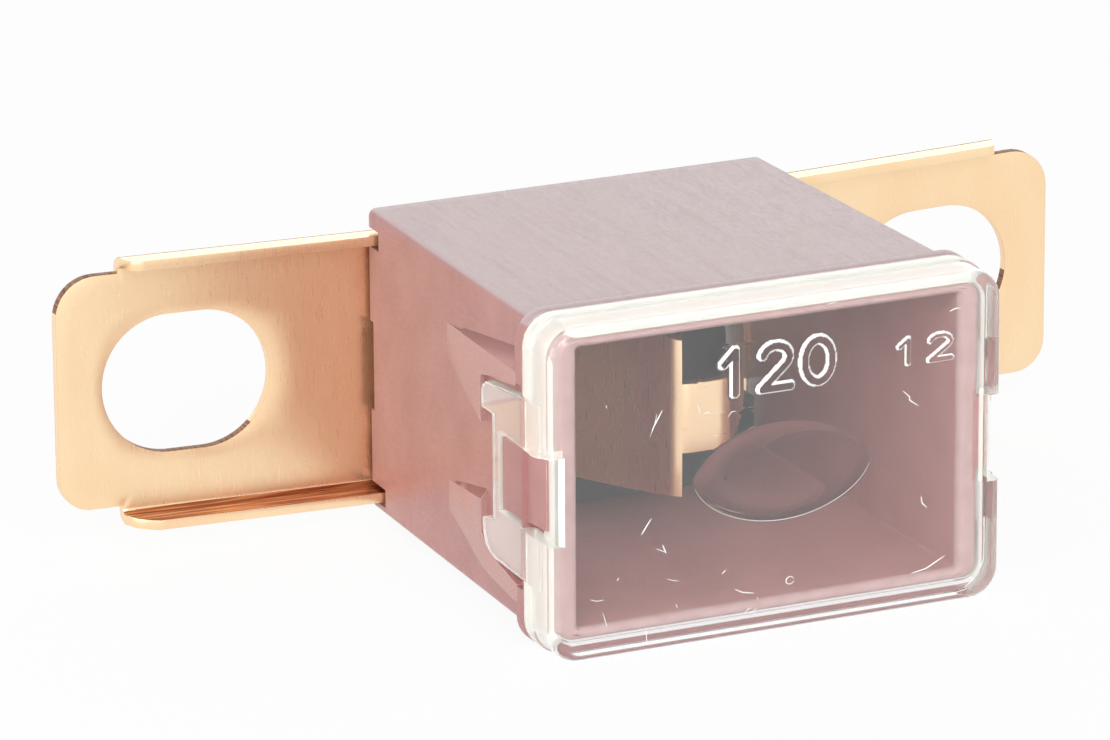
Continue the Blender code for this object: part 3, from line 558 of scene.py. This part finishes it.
def turn(start, radius, angle_from, angle_to, steps):
    """An arc in plan from a start point, whose slope against the X axis goes from one angle to another."""
    angle = np.linspace(angle_from, angle_to, steps + 1)
    x = start[0] + radius * (np.sin(angle) - math.sin(angle_from))
    depth = start[1] - radius * (math.cos(angle_from) - np.cos(angle))
    return np.stack([x, depth], axis=1)


def lift(x):
    """Rise of the tabs, which point up by a degree and a half outside the wall."""
    return math.tan(TAB_RISE) * np.maximum(np.abs(x) - BODY_HALF, 0.0)


bend = turn((LINK_FLAT, LINK_FRONT - SHEET / 2), SHOULDER_RADIUS, 0.0, SHOULDER_ANGLE, 12)
sweep_fall = bend[-1, 1] + SHEET / 2 - FOOT_RADIUS * (1 - math.cos(FOOT_ANGLE))
sweep_radius = sweep_fall / (math.cos(SHOULDER_ANGLE) - math.cos(FOOT_ANGLE))
sweep = turn(bend[-1], sweep_radius, SHOULDER_ANGLE, FOOT_ANGLE, 24)
foot = turn(sweep[-1], -FOOT_RADIUS, FOOT_ANGLE, 0.0, 14)
arch = np.concatenate([bend, sweep[1:], foot[1:]])
# Points of the arch where the strip widens: at the left shoulder, and at the top of the right foot's bend.
LEFT_SHOULDER, RIGHT_SHOULDER = 5, 36
columns = STRIP_MIDDLE + np.array([-LEG_HALF, -LINK_HALF, 0.0, LINK_HALF, LEG_HALF])


def along(path, heights):
    """A sheet that follows a plan path, with one column of points for each height."""
    points = place(path[:, :1] * MM, path[:, 1:] * MM, heights[None, :] * MM)
    return points, quads(len(path), len(heights))


def slot_edge(angle):
    """Edge of the slotted hole by direction from its middle: two flats joined by two half circles."""
    flat = SLOT_RADIUS / np.maximum(np.abs(np.sin(angle)), 1e-6)
    cap = SLOT_REACH * np.abs(np.cos(angle)) + np.sqrt(SLOT_RADIUS**2 - (SLOT_REACH * np.sin(angle))**2)
    size = np.where(np.abs(flat * np.cos(angle)) <= SLOT_REACH, flat, cap)
    return size * np.cos(angle), size * np.sin(angle)


def corner(x, height, radius, start, steps=10):
    """A quarter circle of the tab's outline, from a start angle in degrees."""
    angle = np.radians(np.linspace(start, start + 90.0, steps + 1))
    return np.stack([x + radius * np.cos(angle), height + radius * np.sin(angle)], axis=1)


def straight(start, end, steps):
    """Evenly spaced points from a start up to but not including an end."""
    share = np.linspace(0.0, 1.0, steps, endpoint=False)[:, None]
    return np.array(start) * (1 - share) + np.array(end) * share


# The tab's outline runs from the lower lip's inner end round the outer end and back down the neck. The tab is
# a fan of points between it and the slot's edge, at the same headings from the slot's middle.
lip_x = np.linspace(NECK, LIP_END, LIP_COLUMNS)
neck_heights = columns - TAB_MIDDLE
neck_stops = [FOLD, *neck_heights[::-1], -FOLD]
outline = np.concatenate([
    np.stack([lip_x[:-1], np.full(LIP_COLUMNS - 1, -FOLD)], axis=1), [(LIP_END, -FOLD)],
    straight((LIP_END, -TAB_HALF), (TAB_END - LOWER_CORNER, -TAB_HALF), 5),
    corner(TAB_END - LOWER_CORNER, LOWER_CORNER - TAB_HALF, LOWER_CORNER, -90.0),
    straight((TAB_END, -3.9), (TAB_END, 3.5), 22),
    corner(TAB_END - UPPER_CORNER, TAB_HALF - UPPER_CORNER, UPPER_CORNER, 0.0),
    straight((23.0, TAB_HALF), (LIP_END, TAB_HALF), 4), [(LIP_END, TAB_HALF), (LIP_END, FOLD)],
    np.stack([lip_x[-2::-1], np.full(LIP_COLUMNS - 1, FOLD)], axis=1),
    *[straight((NECK, high), (NECK, low), 6) for high, low in zip(neck_stops, neck_stops[1:])]])
heading = np.arctan2(outline[:, 1] - SLOT_HEIGHT, outline[:, 0] - SLOT_X)
hole = np.stack(slot_edge(heading), axis=1) + (SLOT_X, SLOT_HEIGHT)
share = np.linspace(0.0, 1.0, 5)[:, None, None]
tab_x, tab_height = np.moveaxis(hole * (1 - share) + outline * share, -1, 0)
tab_points = place(tab_x * MM, -SHEET / 2 * MM, (TAB_MIDDLE + tab_height + lift(tab_x)) * MM)
neck_x = np.linspace(foot[-1, 0], NECK, 3)
neck = place(neck_x[:, None] * MM, -SHEET / 2 * MM, columns[None, :] * MM)


def lip(side, depth, lead):
    """A folded lip: a quarter bend from the fold line, then a flat flank that runs in at its outer end."""
    angle = np.linspace(0.0, math.pi / 2, BEND_ROWS)
    bend_depth = LIP_BEND * (1 - np.cos(angle)) - SHEET / 2
    bend_height = LIP_BEND * np.sin(angle)
    reach = depth - LIP_BEND + SHEET / 2
    full = np.minimum(1.0, np.sqrt(np.clip((LIP_END - lip_x) / lead, 0.0, 1.0)) + 0.06)
    flank = (LIP_BEND - SHEET / 2) + reach * full[:, None] * np.linspace(0.12, 1.0, FLANK_ROWS)
    lip_depth = np.concatenate([np.broadcast_to(bend_depth, (len(lip_x), BEND_ROWS)), flank], axis=1)
    height = np.concatenate([bend_height, np.full(FLANK_ROWS, LIP_BEND)])
    outward = TAB_MIDDLE + side * (FOLD + height[None, :]) + lift(lip_x)[:, None]
    return (place(lip_x[:, None] * MM, lip_depth * MM, outward * MM),
            quads(len(lip_x), BEND_ROWS + FLANK_ROWS))


def half_strip(side, shoulder):
    """One half of the strip: the link to its shoulder, then the wide leg, the neck, the tab and its lips."""
    link = np.concatenate([[(0.0, LINK_FRONT - SHEET / 2)], arch[:shoulder + 1]])
    shells = [along(link, columns[1:4]), along(arch[shoulder:], columns), (neck, quads(3, 5)),
              (tab_points, quads(5, len(outline), False, True)), lip(-1, *LOWER_LIP), lip(1, *UPPER_LIP)]
    return [(points * (side, 1, 1), faces) for points, faces in shells]


strip = solid("copper_strip", half_strip(-1, LEFT_SHOULDER) + half_strip(1, RIGHT_SHOULDER))
sheet = strip.modifiers.new("sheet", "SOLIDIFY")
sheet.thickness = SHEET * MM
sheet.offset = 0.0
sheet.use_even_offset = True
apply_modifiers(strip)
COPPER_SLOT, PUNCHED_AND_REFLECTION_SLOT, LIP_REFLECTION_SLOT = 0, 1, 2
for _ in (COPPER_SLOT, PUNCHED_AND_REFLECTION_SLOT, LIP_REFLECTION_SLOT):
    strip.data.materials.append(None)
rounded(strip, 0.075 * MM, 2, 50.0, PUNCHED_AND_REFLECTION_SLOT)
smooth(strip)
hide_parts("fuse_element")
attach(strip, "root")


def rolled_copper():
    """Bright rolled copper: grain up the tabs and legs, wrinkles on the link, and legs painted darker and
    plum-brown, a painted reflection of the plum walls.
    """
    made, nodes, links, shader = new_material("rolled_copper", (0.98, 0.72, 0.46), 0.24, 0.9)
    grain = stretched_noise(nodes, links, (1.0, 1.0, 0.05), 15000.0, 3.0)
    across_grain = stretched_noise(nodes, links, (0.07, 1.0, 1.0), 13000.0, 3.0)
    wrinkle = stretched_noise(nodes, links, (0.12, 0.12, 1.0), 5200.0, 3.0)
    blush = stretched_noise(nodes, links, (1.0, 1.0, 0.5), 260.0, 2.0)
    texture = mixed(nodes, links, beside(nodes, links, 1.0 * MM, 1.3 * MM), wrinkle, grain)
    bright = ramped(nodes, links, blush, [(0.3, (0.97, 0.69, 0.42)), (0.7, (1.0, 0.765, 0.49))])
    # Legs painted dark plum-brown away from the link: a painted reflection of the housing's plum walls.
    shaded = ramped(nodes, links, grain, [(0.3, (0.56, 0.33, 0.275)), (0.7, (0.62, 0.375, 0.31))])
    leg = mixed(nodes, links, beside(nodes, links, 2.1 * MM, 4.2 * MM), shaded, bright)
    links.new(mixed(nodes, links, beside(nodes, links, 1.35 * MM, 1.5 * MM), bright, leg),
              shader.inputs["Base Color"])
    links.new(ramped(nodes, links, texture, [(0.3, (0.26,) * 3), (0.7, (0.35,) * 3)]),
              shader.inputs["Roughness"])
    lines = bump(nodes, links, texture, 0.16, 0.004 * MM, shader)
    bump(nodes, links, across_grain, 0.1, 0.004 * MM, shader, lines)
    return made


strip.data.materials[COPPER_SLOT] = rolled_copper()
# Cut edges: partly the punched edges' dull tone, partly a painted dark reflection.
strip.data.materials[PUNCHED_AND_REFLECTION_SLOT] = clouded(
    "punched_edge_dark_reflection", (0.2, 0.09, 0.05), 0.6, 0.1, (1.0, 0.1, 1.0), 9000.0, 2.0,
    [(0.35, (0.13, 0.05, 0.025)), (0.7, (0.42, 0.22, 0.12))])
# The next material is the lower lips' inside: a painted dark reflection of the copper facing it.
strip.data.materials[LIP_REFLECTION_SLOT] = clouded(
    "lip_painted_reflection", (0.42, 0.15, 0.06), 0.3, 0.9, (0.03, 1.0, 1.0), 5200.0, 2.0,
    [(0.35, (0.26, 0.075, 0.03)), (0.5, (0.42, 0.14, 0.055)), (0.65, (0.80, 0.42, 0.20))])
x, depth, height, facing = face_places(strip)
slots = face_slots(strip)
# The lower lips' inner faces get a painted dark reflection of the facing copper. Cut edges that look up are
# dark, partly the punched edges' dull tone and partly painted dark reflection, and the upper lips' rear bend
# is painted dark too.
in_lower_lip = (np.abs(x) > 9.2) & (height < TAB_MIDDLE - FOLD + 0.2) & (depth < 1.5) & (facing[:, 2] > 0.35)
slots[(slots == COPPER_SLOT) & in_lower_lip] = LIP_REFLECTION_SLOT
on_cut = (np.abs(facing[:, 1]) < 0.5) & (np.abs(x) > 9.4)
near_slot = (np.abs(np.abs(x) - SLOT_X) < 4.2) & (np.abs(height - TAB_MIDDLE) < 3.6) & (facing[:, 2] > 0.72)
at_end = (np.abs(x) > LIP_END + 0.02) & (facing[:, 2] > 0.12)
rear_bend = (height > TAB_MIDDLE + FOLD) & (depth > -0.02) & (depth < 0.22) & (facing[:, 2] > 0.5)
slots[on_cut & (near_slot | at_end | rear_bend)] = PUNCHED_AND_REFLECTION_SLOT
strip.data.polygons.foreach_set("material_index", slots)


# Rear plug: the dark moulded filler between the legs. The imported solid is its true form, so it stays.
def slate_moulding():
    """Dark plastic with faint clouds, which also give it a soft relief."""
    made, nodes, links, shader = new_material("slate_moulding", (0.018, 0.028, 0.03), 0.5)
    cloud = stretched_noise(nodes, links, (1.0, 1.0, 1.0), 900.0)
    links.new(ramped(nodes, links, cloud, [(0.3, (0.014, 0.023, 0.025)), (0.7, (0.024, 0.036, 0.038))]),
              shader.inputs["Base Color"])
    bump(nodes, links, cloud, 0.3, 0.04 * MM, shader)
    return made


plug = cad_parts["base_plug"]
plug.data.materials.clear()
plug.data.materials.append(slate_moulding())


# Clear cover: one clear moulding that clips on. Its plate has a raised almond, raised rating numerals, the
# sunk line of the numerals' insert, a gate mark and the scratches of handling.
COVER_HALF, COVER_LOW, COVER_HIGH = 11.0, -0.57, 14.73
COVER_MIDDLE = (COVER_LOW + COVER_HIGH) / 2
PLATE_FRONT, PLATE_REAR = 22.16, 21.31
PLATE_HALF, PLATE_CORNER, PLATE_ROUND = 10.52, 1.0, 0.4
FACE_HALF, FACE_LOW, FACE_HIGH = 9.72, 0.71, 13.45


def spaced(stops):
    """Grid lines between stops, each stretch with its own spacing."""
    lines = [np.arange(low, high - 0.4 * step, step) for (low, high, step) in stops]
    return np.concatenate(lines + [[stops[-1][1]]])


face_x = spaced([(-FACE_HALF, -4.2, 0.24), (-4.2, -3.4, 0.1), (-3.4, 3.5, 0.05), (3.5, 5.0, 0.1),
                 (5.0, 9.1, 0.05), (9.1, FACE_HALF, 0.2)])
face_height = spaced([(FACE_LOW, 4.4, 0.2), (4.4, 9.3, 0.1), (9.3, 10.2, 0.1), (10.2, 13.05, 0.05),
                      (13.05, FACE_HIGH, 0.2)])
plate_x, plate_height = np.meshgrid(face_x, face_height)


def nearest(path, x, h):
    """Distance of each point of the face from a run of straight segments."""
    best = np.full(x.shape, 1e3)
    for (x_a, h_a), (x_b, h_b) in zip(path, path[1:]):
        run_x, run_h = x_b - x_a, h_b - h_a
        t = np.clip(((x - x_a) * run_x + (h - h_a) * run_h) / (run_x**2 + run_h**2 + 1e-12), 0.0, 1.0)
        best = np.minimum(best, np.hypot(x - x_a - t * run_x, h - h_a - t * run_h))
    return best


def ease(value):
    """A smooth step from 0 to 1."""
    value = np.clip(value, 0.0, 1.0)
    return value * value * (3 - 2 * value)


def bow(centre_x, centre_h, radius_x, radius_h, start, end, steps=16):
    """Points of an elliptic arc, with angles in degrees."""
    angle = np.radians(np.linspace(start, end, steps + 1))
    return list(zip(centre_x + radius_x * np.cos(angle), centre_h + radius_h * np.sin(angle)))


NUMERALS = {
    "0": bow(0.5, 0.5, 0.42, 0.5, 90, 450, 40),
    "1": [(0.22, 0.72), (0.56, 1.0), (0.56, 0.0)],
    "2": bow(0.5, 0.72, 0.4, 0.28, 165, -40, 18) + [(0.08, 0.0), (0.94, 0.0)],
}


def numeral_path(digit, x, low, width, height):
    """A numeral's centre line, from its unit box to its place on the plate."""
    return [(x + u * width, low + v * height) for u, v in NUMERALS[digit]]


ALMOND_X, ALMOND_H, ALMOND_HALF_X, ALMOND_HALF_H = 0.18, 6.88, 4.28, 2.24
ALMOND_POWER, ALMOND_RISE, ALMOND_SHOULDER = 1.65, 0.17, 0.55
share = np.linspace(-0.985, 0.985, 60)
lower_rim = np.stack([ALMOND_X + ALMOND_HALF_X * share,
                      ALMOND_H - ALMOND_HALF_H * (1 - share**2) ** (1 / ALMOND_POWER)], axis=1)
INSERT_LEFT, INSERT_RIGHT, INSERT_FOOT, INSERT_TOP = -3.92, 3.43, 9.9, 12.92
INSERT_CORNER, INSERT_SUNK = 0.35, 0.012
insert = []
for centre_x, centre_h, start in ((INSERT_RIGHT - INSERT_CORNER, INSERT_FOOT + INSERT_CORNER, -90),
                                  (INSERT_RIGHT - INSERT_CORNER, INSERT_TOP - INSERT_CORNER, 0),
                                  (INSERT_LEFT + INSERT_CORNER, INSERT_TOP - INSERT_CORNER, 90),
                                  (INSERT_LEFT + INSERT_CORNER, INSERT_FOOT + INSERT_CORNER, 180)):
    insert += bow(centre_x, centre_h, INSERT_CORNER, INSERT_CORNER, start, start + 90, 6)
insert += insert[:1]
gate = bow(0.56, 1.77, 0.19, 0.17, 20, 340, 24)
# Each rating: its numerals, their left ends, foot, width and height, half a stroke, its slope and its rise.
RATINGS = (("120", (-3.05, -1.0, 1.05), 10.75, 1.6, 1.9, 0.27, 0.12, 0.14),
           ("12", (5.55, 7.2), 10.95, 1.25, 1.1, 0.155, 0.08, 0.10))
# The scratches' middle lines as the photo shows them, in distances along X and heights.
SCRATCHES = (
    ((8.29, 13.03), (8.55, 13.12), (8.81, 13.12)), ((6.04, 9.69), (6.39, 9.36), (6.34, 9.24), (6.81, 8.9)),
    ((-6.1, 9.61), (-5.59, 10.45)), ((-6.62, 4.92), (-6.13, 5.61)),
    ((-2.12, 1.76), (-1.75, 1.56), (-1.18, 1.44)), ((6.53, 1.19), (7.24, 1.3), (8.18, 1.77)),
    ((6.97, 4.72), (7.03, 4.38), (7.27, 4.13)), ((-5.6, 4.33), (-5.43, 3.92)),
)
FINE_SCRATCHES = (
    ((-3.64, 9.98), (-3.42, 10.06), (-3.23, 9.92)), ((-3.9, 10.49), (-3.8, 10.03)),
    ((2.3, 14.15), (2.83, 14.2)), ((-2.46, 9.7), (-2.27, 9.9), (-2.03, 9.91)),
    ((-5.92, 4.19), (-5.68, 4.08), (-5.39, 3.92)), ((-7.78, 3.0), (-7.69, 3.13)),
    ((-4.96, 1.52), (-4.89, 1.32)), ((-1.67, 0.55), (-1.48, 0.75), (-1.33, 0.78)),
    ((-1.38, 0.48), (-1.19, 0.66), (-1.04, 0.71)), ((-8.46, 1.64), (-8.36, 1.3), (-8.27, 0.97)),
    ((-6.4, 0.59), (-6.38, 0.22), (-6.36, -0.1)), ((-2.74, 2.56), (-2.55, 2.72)),
    ((-1.04, 1.24), (-0.97, 1.09)),
    ((-5.39, 2.73), (-5.1, 2.62), (-4.77, 2.54)), ((-6.19, 9.32), (-5.95, 9.88), (-5.86, 10.32)),
    ((-8.27, 11.06), (-8.23, 10.88)), ((-9.07, 2.33), (-8.74, 2.21), (-8.41, 2.23)),
)


def face_relief(x, h):
    """Depth of the plate's face, and whether it carries a painted white glint, at a place.

    The almond rises where the square of the share along it and a power of the share up it add up to less than
    1. A stroke rises where its centre line is near, and its slopes are painted white, a painted glint of its
    edges. The insert leaves a fine sunk line.
    """
    inside = 1.0 - ((x - ALMOND_X) / ALMOND_HALF_X)**2 - (np.abs(h - ALMOND_H) / ALMOND_HALF_H)**ALMOND_POWER
    front = PLATE_FRONT + ALMOND_RISE * (1.0 - (1.0 - np.clip(inside / ALMOND_SHOULDER, 0.0, 1.0))**2)
    painted_glint = np.zeros(x.shape, dtype=bool)
    for digits, lefts, foot_line, width, height, half_stroke, slope, rise in RATINGS:
        for digit, left in zip(digits, lefts):
            away = nearest(numeral_path(digit, left, foot_line, width, height), x, h)
            front = front + rise * ease((half_stroke - away) / slope)
            painted_glint |= (away < half_stroke) & (away > half_stroke - slope)
    front = front - INSERT_SUNK * ease((0.07 - nearest(insert, x, h)) / 0.06)
    return front, painted_glint


def hairline(path, width, rise=0.025, steps=14):
    """A scratch's raised burr: a four-sided section along a smooth path, which narrows at both ends."""
    path = np.array(path)
    run = np.concatenate([[0.0], np.cumsum(np.hypot(*np.diff(path, axis=0).T))])
    spot = np.linspace(0.0, run[-1], steps)
    x, h = np.interp(spot, run, path[:, 0]), np.interp(spot, run, path[:, 1])
    slope_x, slope_h = np.gradient(x), np.gradient(h)
    length = np.hypot(slope_x, slope_h)
    taper = np.sqrt(np.sin(np.linspace(0.12, math.pi - 0.12, steps)))
    out_x, out_h = -slope_h / length * taper * width / 2, slope_x / length * taper * width / 2
    base = face_relief(x, h)[0]
    section_depth = np.stack([base - 0.01, base + rise * taper, base - 0.01, base - 0.04], axis=1)
    section_x = np.stack([x - out_x, x, x + out_x, x], axis=1)
    section_h = np.stack([h - out_h, h, h + out_h, h], axis=1)
    caps = [[0, 1, 2, 3], [4 * steps - 1, 4 * steps - 2, 4 * steps - 3, 4 * steps - 4]]
    return place(section_x * MM, section_depth * MM, section_h * MM), quads(steps, 4, False, True) + caps


face_columns, face_rows = len(face_x), len(face_height)
face_points = place(plate_x * MM, face_relief(plate_x, plate_height)[0] * MM, plate_height * MM)
ARC = 8
grid = np.arange(face_columns * face_rows).reshape(face_rows, face_columns)
border = np.concatenate([grid[0, :-1], grid[0, -1:], np.repeat(grid[0, -1], ARC - 1), grid[0, -1:],
                         grid[1:-1, -1], grid[-1, -1:], np.repeat(grid[-1, -1], ARC - 1), grid[-1, -1:],
                         grid[-1, -2:0:-1], grid[-1, :1], np.repeat(grid[-1, 0], ARC - 1), grid[-1, :1],
                         grid[-2:0:-1, 0], grid[0, :1], np.repeat(grid[0, 0], ARC - 1)])


def cover_ring(half, low, high, radius):
    """A rounded rectangle with a point for each point of the front face's border and its corner fans."""
    quarter = np.linspace(0.0, math.pi / 2, ARC + 1)
    side_x = np.clip(face_x, -half + radius, half - radius)
    side_h = np.clip(face_height, low + radius, high - radius)
    x = [side_x[:-1], half - radius + radius * np.sin(quarter), np.full(face_rows - 2, half),
         half - radius + radius * np.cos(quarter), side_x[-2:0:-1], -half + radius - radius * np.sin(quarter),
         np.full(face_rows - 2, -half), -half + radius - radius * np.cos(quarter[:-1])]
    h = [np.full(face_columns - 1, low), low + radius - radius * np.cos(quarter), side_h[1:-1],
         high - radius + radius * np.sin(quarter), np.full(face_columns - 2, high),
         high - radius + radius * np.cos(quarter), side_h[-2:0:-1],
         low + radius - radius * np.sin(quarter[:-1])]
    return np.concatenate(x), np.concatenate(h)


# The skirt's section from the face round the outside, under the edge and up the inside to the plate's rear:
# depth, half width and corner radius.
cover_profile = [(PLATE_FRONT, PLATE_HALF, PLATE_CORNER)]
for ahead, inwards in quarter_turn(7):
    out = PLATE_ROUND * inwards
    cover_profile.append((PLATE_FRONT - PLATE_ROUND * ahead, PLATE_HALF + out, PLATE_CORNER + out))
cover_profile += [(20.52, 10.92, 1.4), (20.47, 10.93, 1.41), (20.42, 10.98, 1.44), (20.38, COVER_HALF, 1.45),
                  (19.52, COVER_HALF, 1.45), (19.45, 10.97, 1.42), (19.42, 10.91, 1.38), (19.42, 10.44, 0.95),
                  (19.5, 10.37, 0.88), (21.1, 10.35, 0.85), (21.25, 10.3, 0.8), (PLATE_REAR, 10.16, 0.7),
                  (PLATE_REAR, 10.06, 0.6)]
rows = [face_points[border]]
for depth, half, radius in cover_profile:
    x, height = cover_ring(half, COVER_LOW + COVER_HALF - half, COVER_HIGH - COVER_HALF + half, radius)
    rows.append(place(x * MM, depth * MM, height * MM))
rim_count = len(border)
skirt = (np.concatenate(rows), quads(len(rows), rim_count, False, True) +
         [list(range((len(rows) - 1) * rim_count, len(rows) * rim_count))])
cover = solid("clear_cover", [(face_points, quads(face_rows, face_columns)), skirt])


def panel(name, outline_points, inner, outer, width=0.0):
    """A flat piece on an end: a side view, as depths and heights, carried along X."""
    side_view = np.array(outline_points)
    count = len(side_view)
    points = [place(x * MM, side_view[:, 0] * MM, side_view[:, 1] * MM) for x in (inner, outer)]
    faces = quads(2, count, False, True) + [list(range(count)), list(range(2 * count - 1, count - 1, -1))]
    made = solid(name, [(np.concatenate(points), faces)])
    return rounded(made, width * MM, 3, 50.0) if width else made


# Side views of the clip and its window as (depth, height), and the notch's plan as (x, depth).
CLIP = [(21.2, 2.6), (19.0, 2.64), (16.4, 2.72), (15.85, 2.86), (15.5, 3.1), (15.28, 3.45), (15.2, 3.8),
        (15.15, 4.25), (15.2, 4.3), (16.3, 4.5), (16.3, 9.32), (15.25, 9.32), (15.15, 9.4), (15.12, 10.1),
        (15.25, 10.4), (15.6, 10.62), (18.7, 10.92), (21.2, 11.1)]
CLIP_INNER, CLIP_OUTER, CUT_OUTER = 10.52, 11.03, 11.8
WINDOW_REAR, WINDOW_FOOT, WINDOW_INNER = 16.95, 5.1, 10.13
WINDOW = [(WINDOW_REAR, WINDOW_FOOT), (20.45, 4.97), (20.45, 8.63), (19.4, 8.7), (WINDOW_REAR, 8.75)]
NOTCH = [(10.45, 20.4), (10.45, 21.96), (10.22, 22.18), (10.22, 22.7), (CUT_OUTER, 22.7), (CUT_OUTER, 20.4)]


def notch(name, side):
    """The window's part in the plate and skirt: its plan, with a chamfer, carried up between two slopes."""
    plan = np.array(NOTCH)
    low = WINDOW_FOOT - 0.038 * (plan[:, 1] - WINDOW_REAR)
    high = 8.62 + 0.2 * np.clip(plan[:, 1] - 20.6, 0.0, 1.65)
    points = [place(side * plan[:, 0] * MM, plan[:, 1] * MM, level * MM) for level in (low, high)]
    count = len(plan)
    return solid(name, [(np.concatenate(points), quads(2, count, False, True) +
                         [list(range(count)), list(range(2 * count - 1, count - 1, -1))])])


for side in (-1, 1):
    for tool, operation in ((panel("clip", CLIP, side * CLIP_INNER, side * CLIP_OUTER, 0.09), "UNION"),
                            (panel("window", WINDOW, side * WINDOW_INNER, side * CUT_OUTER), "DIFFERENCE"),
                            (notch("notch", side), "DIFFERENCE")):
        joint = cover.modifiers.new(tool.name, "BOOLEAN")
        joint.object = tool
        joint.operation = operation
        joint.solver = "EXACT"
        apply_modifiers(cover)
        bpy.data.objects.remove(tool)
smooth(cover)


def keep_flat(made, area):
    """Sharp edges round every face larger than an area, so that a flat face is shaded flat."""
    mesh = made.data
    areas, corners = np.empty(len(mesh.polygons)), np.empty(len(mesh.polygons), dtype=np.int32)
    mesh.polygons.foreach_get("area", areas)
    mesh.polygons.foreach_get("loop_total", corners)
    edge_of_corner = np.empty(len(mesh.loops), dtype=np.int32)
    mesh.loops.foreach_get("edge_index", edge_of_corner)
    sharp = np.empty(len(mesh.edges), dtype=bool)
    mesh.edges.foreach_get("use_edge_sharp", sharp)
    sharp[edge_of_corner[np.repeat(areas > area, corners)]] = True
    mesh.edges.foreach_set("use_edge_sharp", sharp)


keep_flat(cover, 1.5 * MM**2)
cover_faces = len(cover.data.polygons)
# The almond's lower edge gets a thin white line: a painted highlight of its slope.
marks = solid("scratch_marks", [hairline(path, 0.06) for path in SCRATCHES] +
              [hairline(path, 0.035, 0.015) for path in FINE_SCRATCHES] +
              [hairline(gate, 0.05, 0.03, 40), hairline(lower_rim, 0.03, 0.01, 60)])
join(cover, marks)
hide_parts("window_cover")
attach(cover, "root")


def clear_plastic(name, colour, roughness, clarity):
    """Plastic that is glass by its clarity and milky by the rest, and lets lamps light what is behind it."""
    made, nodes, links, shader = new_material(name, colour, roughness)
    shader.inputs["Transmission Weight"].default_value = clarity
    shader.inputs["IOR"].default_value = 1.49
    rays = nodes.new("ShaderNodeLightPath")
    lamps_pass = nodes.new("ShaderNodeBsdfTransparent")
    either = nodes.new("ShaderNodeMixShader")
    links.new(rays.outputs["Is Shadow Ray"], either.inputs["Fac"])
    links.new(shader.outputs[0], either.inputs[1])
    links.new(lamps_pass.outputs[0], either.inputs[2])
    links.new(either.outputs[0], nodes["Material Output"].inputs["Surface"])
    cover.data.materials.append(made)


# The milky shares are partly the plastic's own haze and partly painted light: the white of the bright edges
# stands in for light piped along the skirt's edges, and the plate's faint white for the room's reflected
# veil.
clear_plastic("clear_plate", (1.0, 1.0, 1.0), 0.03, 0.98)
clear_plastic("clear_sides", (0.98, 0.99, 0.96), 0.06, 0.88)
clear_plastic("bright_edges", (0.95, 0.975, 0.91), 0.2, 0.5)
# This material serves the scratches, the gate mark and the notch's chamfer, and also painted glints on the
# numerals' slopes and the almond's lower edge.
clear_plastic("frosted_marks_and_glints", (0.98, 0.985, 0.96), 0.4, 0.05)
PLATE_SLOT, SIDES_SLOT, EDGES_SLOT, FROST_AND_GLINT_SLOT = 0, 1, 2, 3
x, depth, height, facing = face_places(cover)
across, forward = facing[:, 0] * np.sign(x), facing[:, 1]
upward = facing[:, 2] * np.sign(height - COVER_MIDDLE)
on_plate = (np.abs(x) < 10.55) & (height > -0.12) & (height < 14.28)
on_plate &= (np.abs(forward) > 0.3) & (depth > 21.2)
inward = (across < -0.6) | (upward < -0.6)
on_strap = (height > 2.6) & (height < 11.1) & (np.abs(x) > 10.4)
by_window = (height > 4.8) & (height < 9.1)
slots = np.full(len(x), SIDES_SLOT)
slots[on_plate] = PLATE_SLOT
slots[(depth < 19.4) & (np.abs(across) < 0.6)] = EDGES_SLOT
slots[(depth > 19.52) & (depth < 20.38) & ~inward & ~on_strap] = EDGES_SLOT
slots[inward & (depth > 19.4) & (depth < 21.35)] = EDGES_SLOT
in_window = (np.abs(x) > 10.0) & by_window & (depth > 16.9) & (np.abs(across) < 0.6)
slots[in_window & (forward < 0.9)] = EDGES_SLOT
in_notch = (np.abs(x) > 10.1) & (np.abs(x) < 10.48) & (across > 0.3) & by_window
slots[in_notch & (depth > 20.4)] = EDGES_SLOT
slots[in_notch & (depth > 21.9)] = FROST_AND_GLINT_SLOT
slots[(height < 0.4) & (np.abs(x) < 10.0)] = PLATE_SLOT
# The numerals' slopes take the white material: a painted glint of their edges.
slots[on_plate & (forward > 0.0) & face_relief(x, height)[1]] = FROST_AND_GLINT_SLOT
slots[cover_faces:] = FROST_AND_GLINT_SLOT
cover.data.polygons.foreach_set("material_index", slots.astype(np.int32))
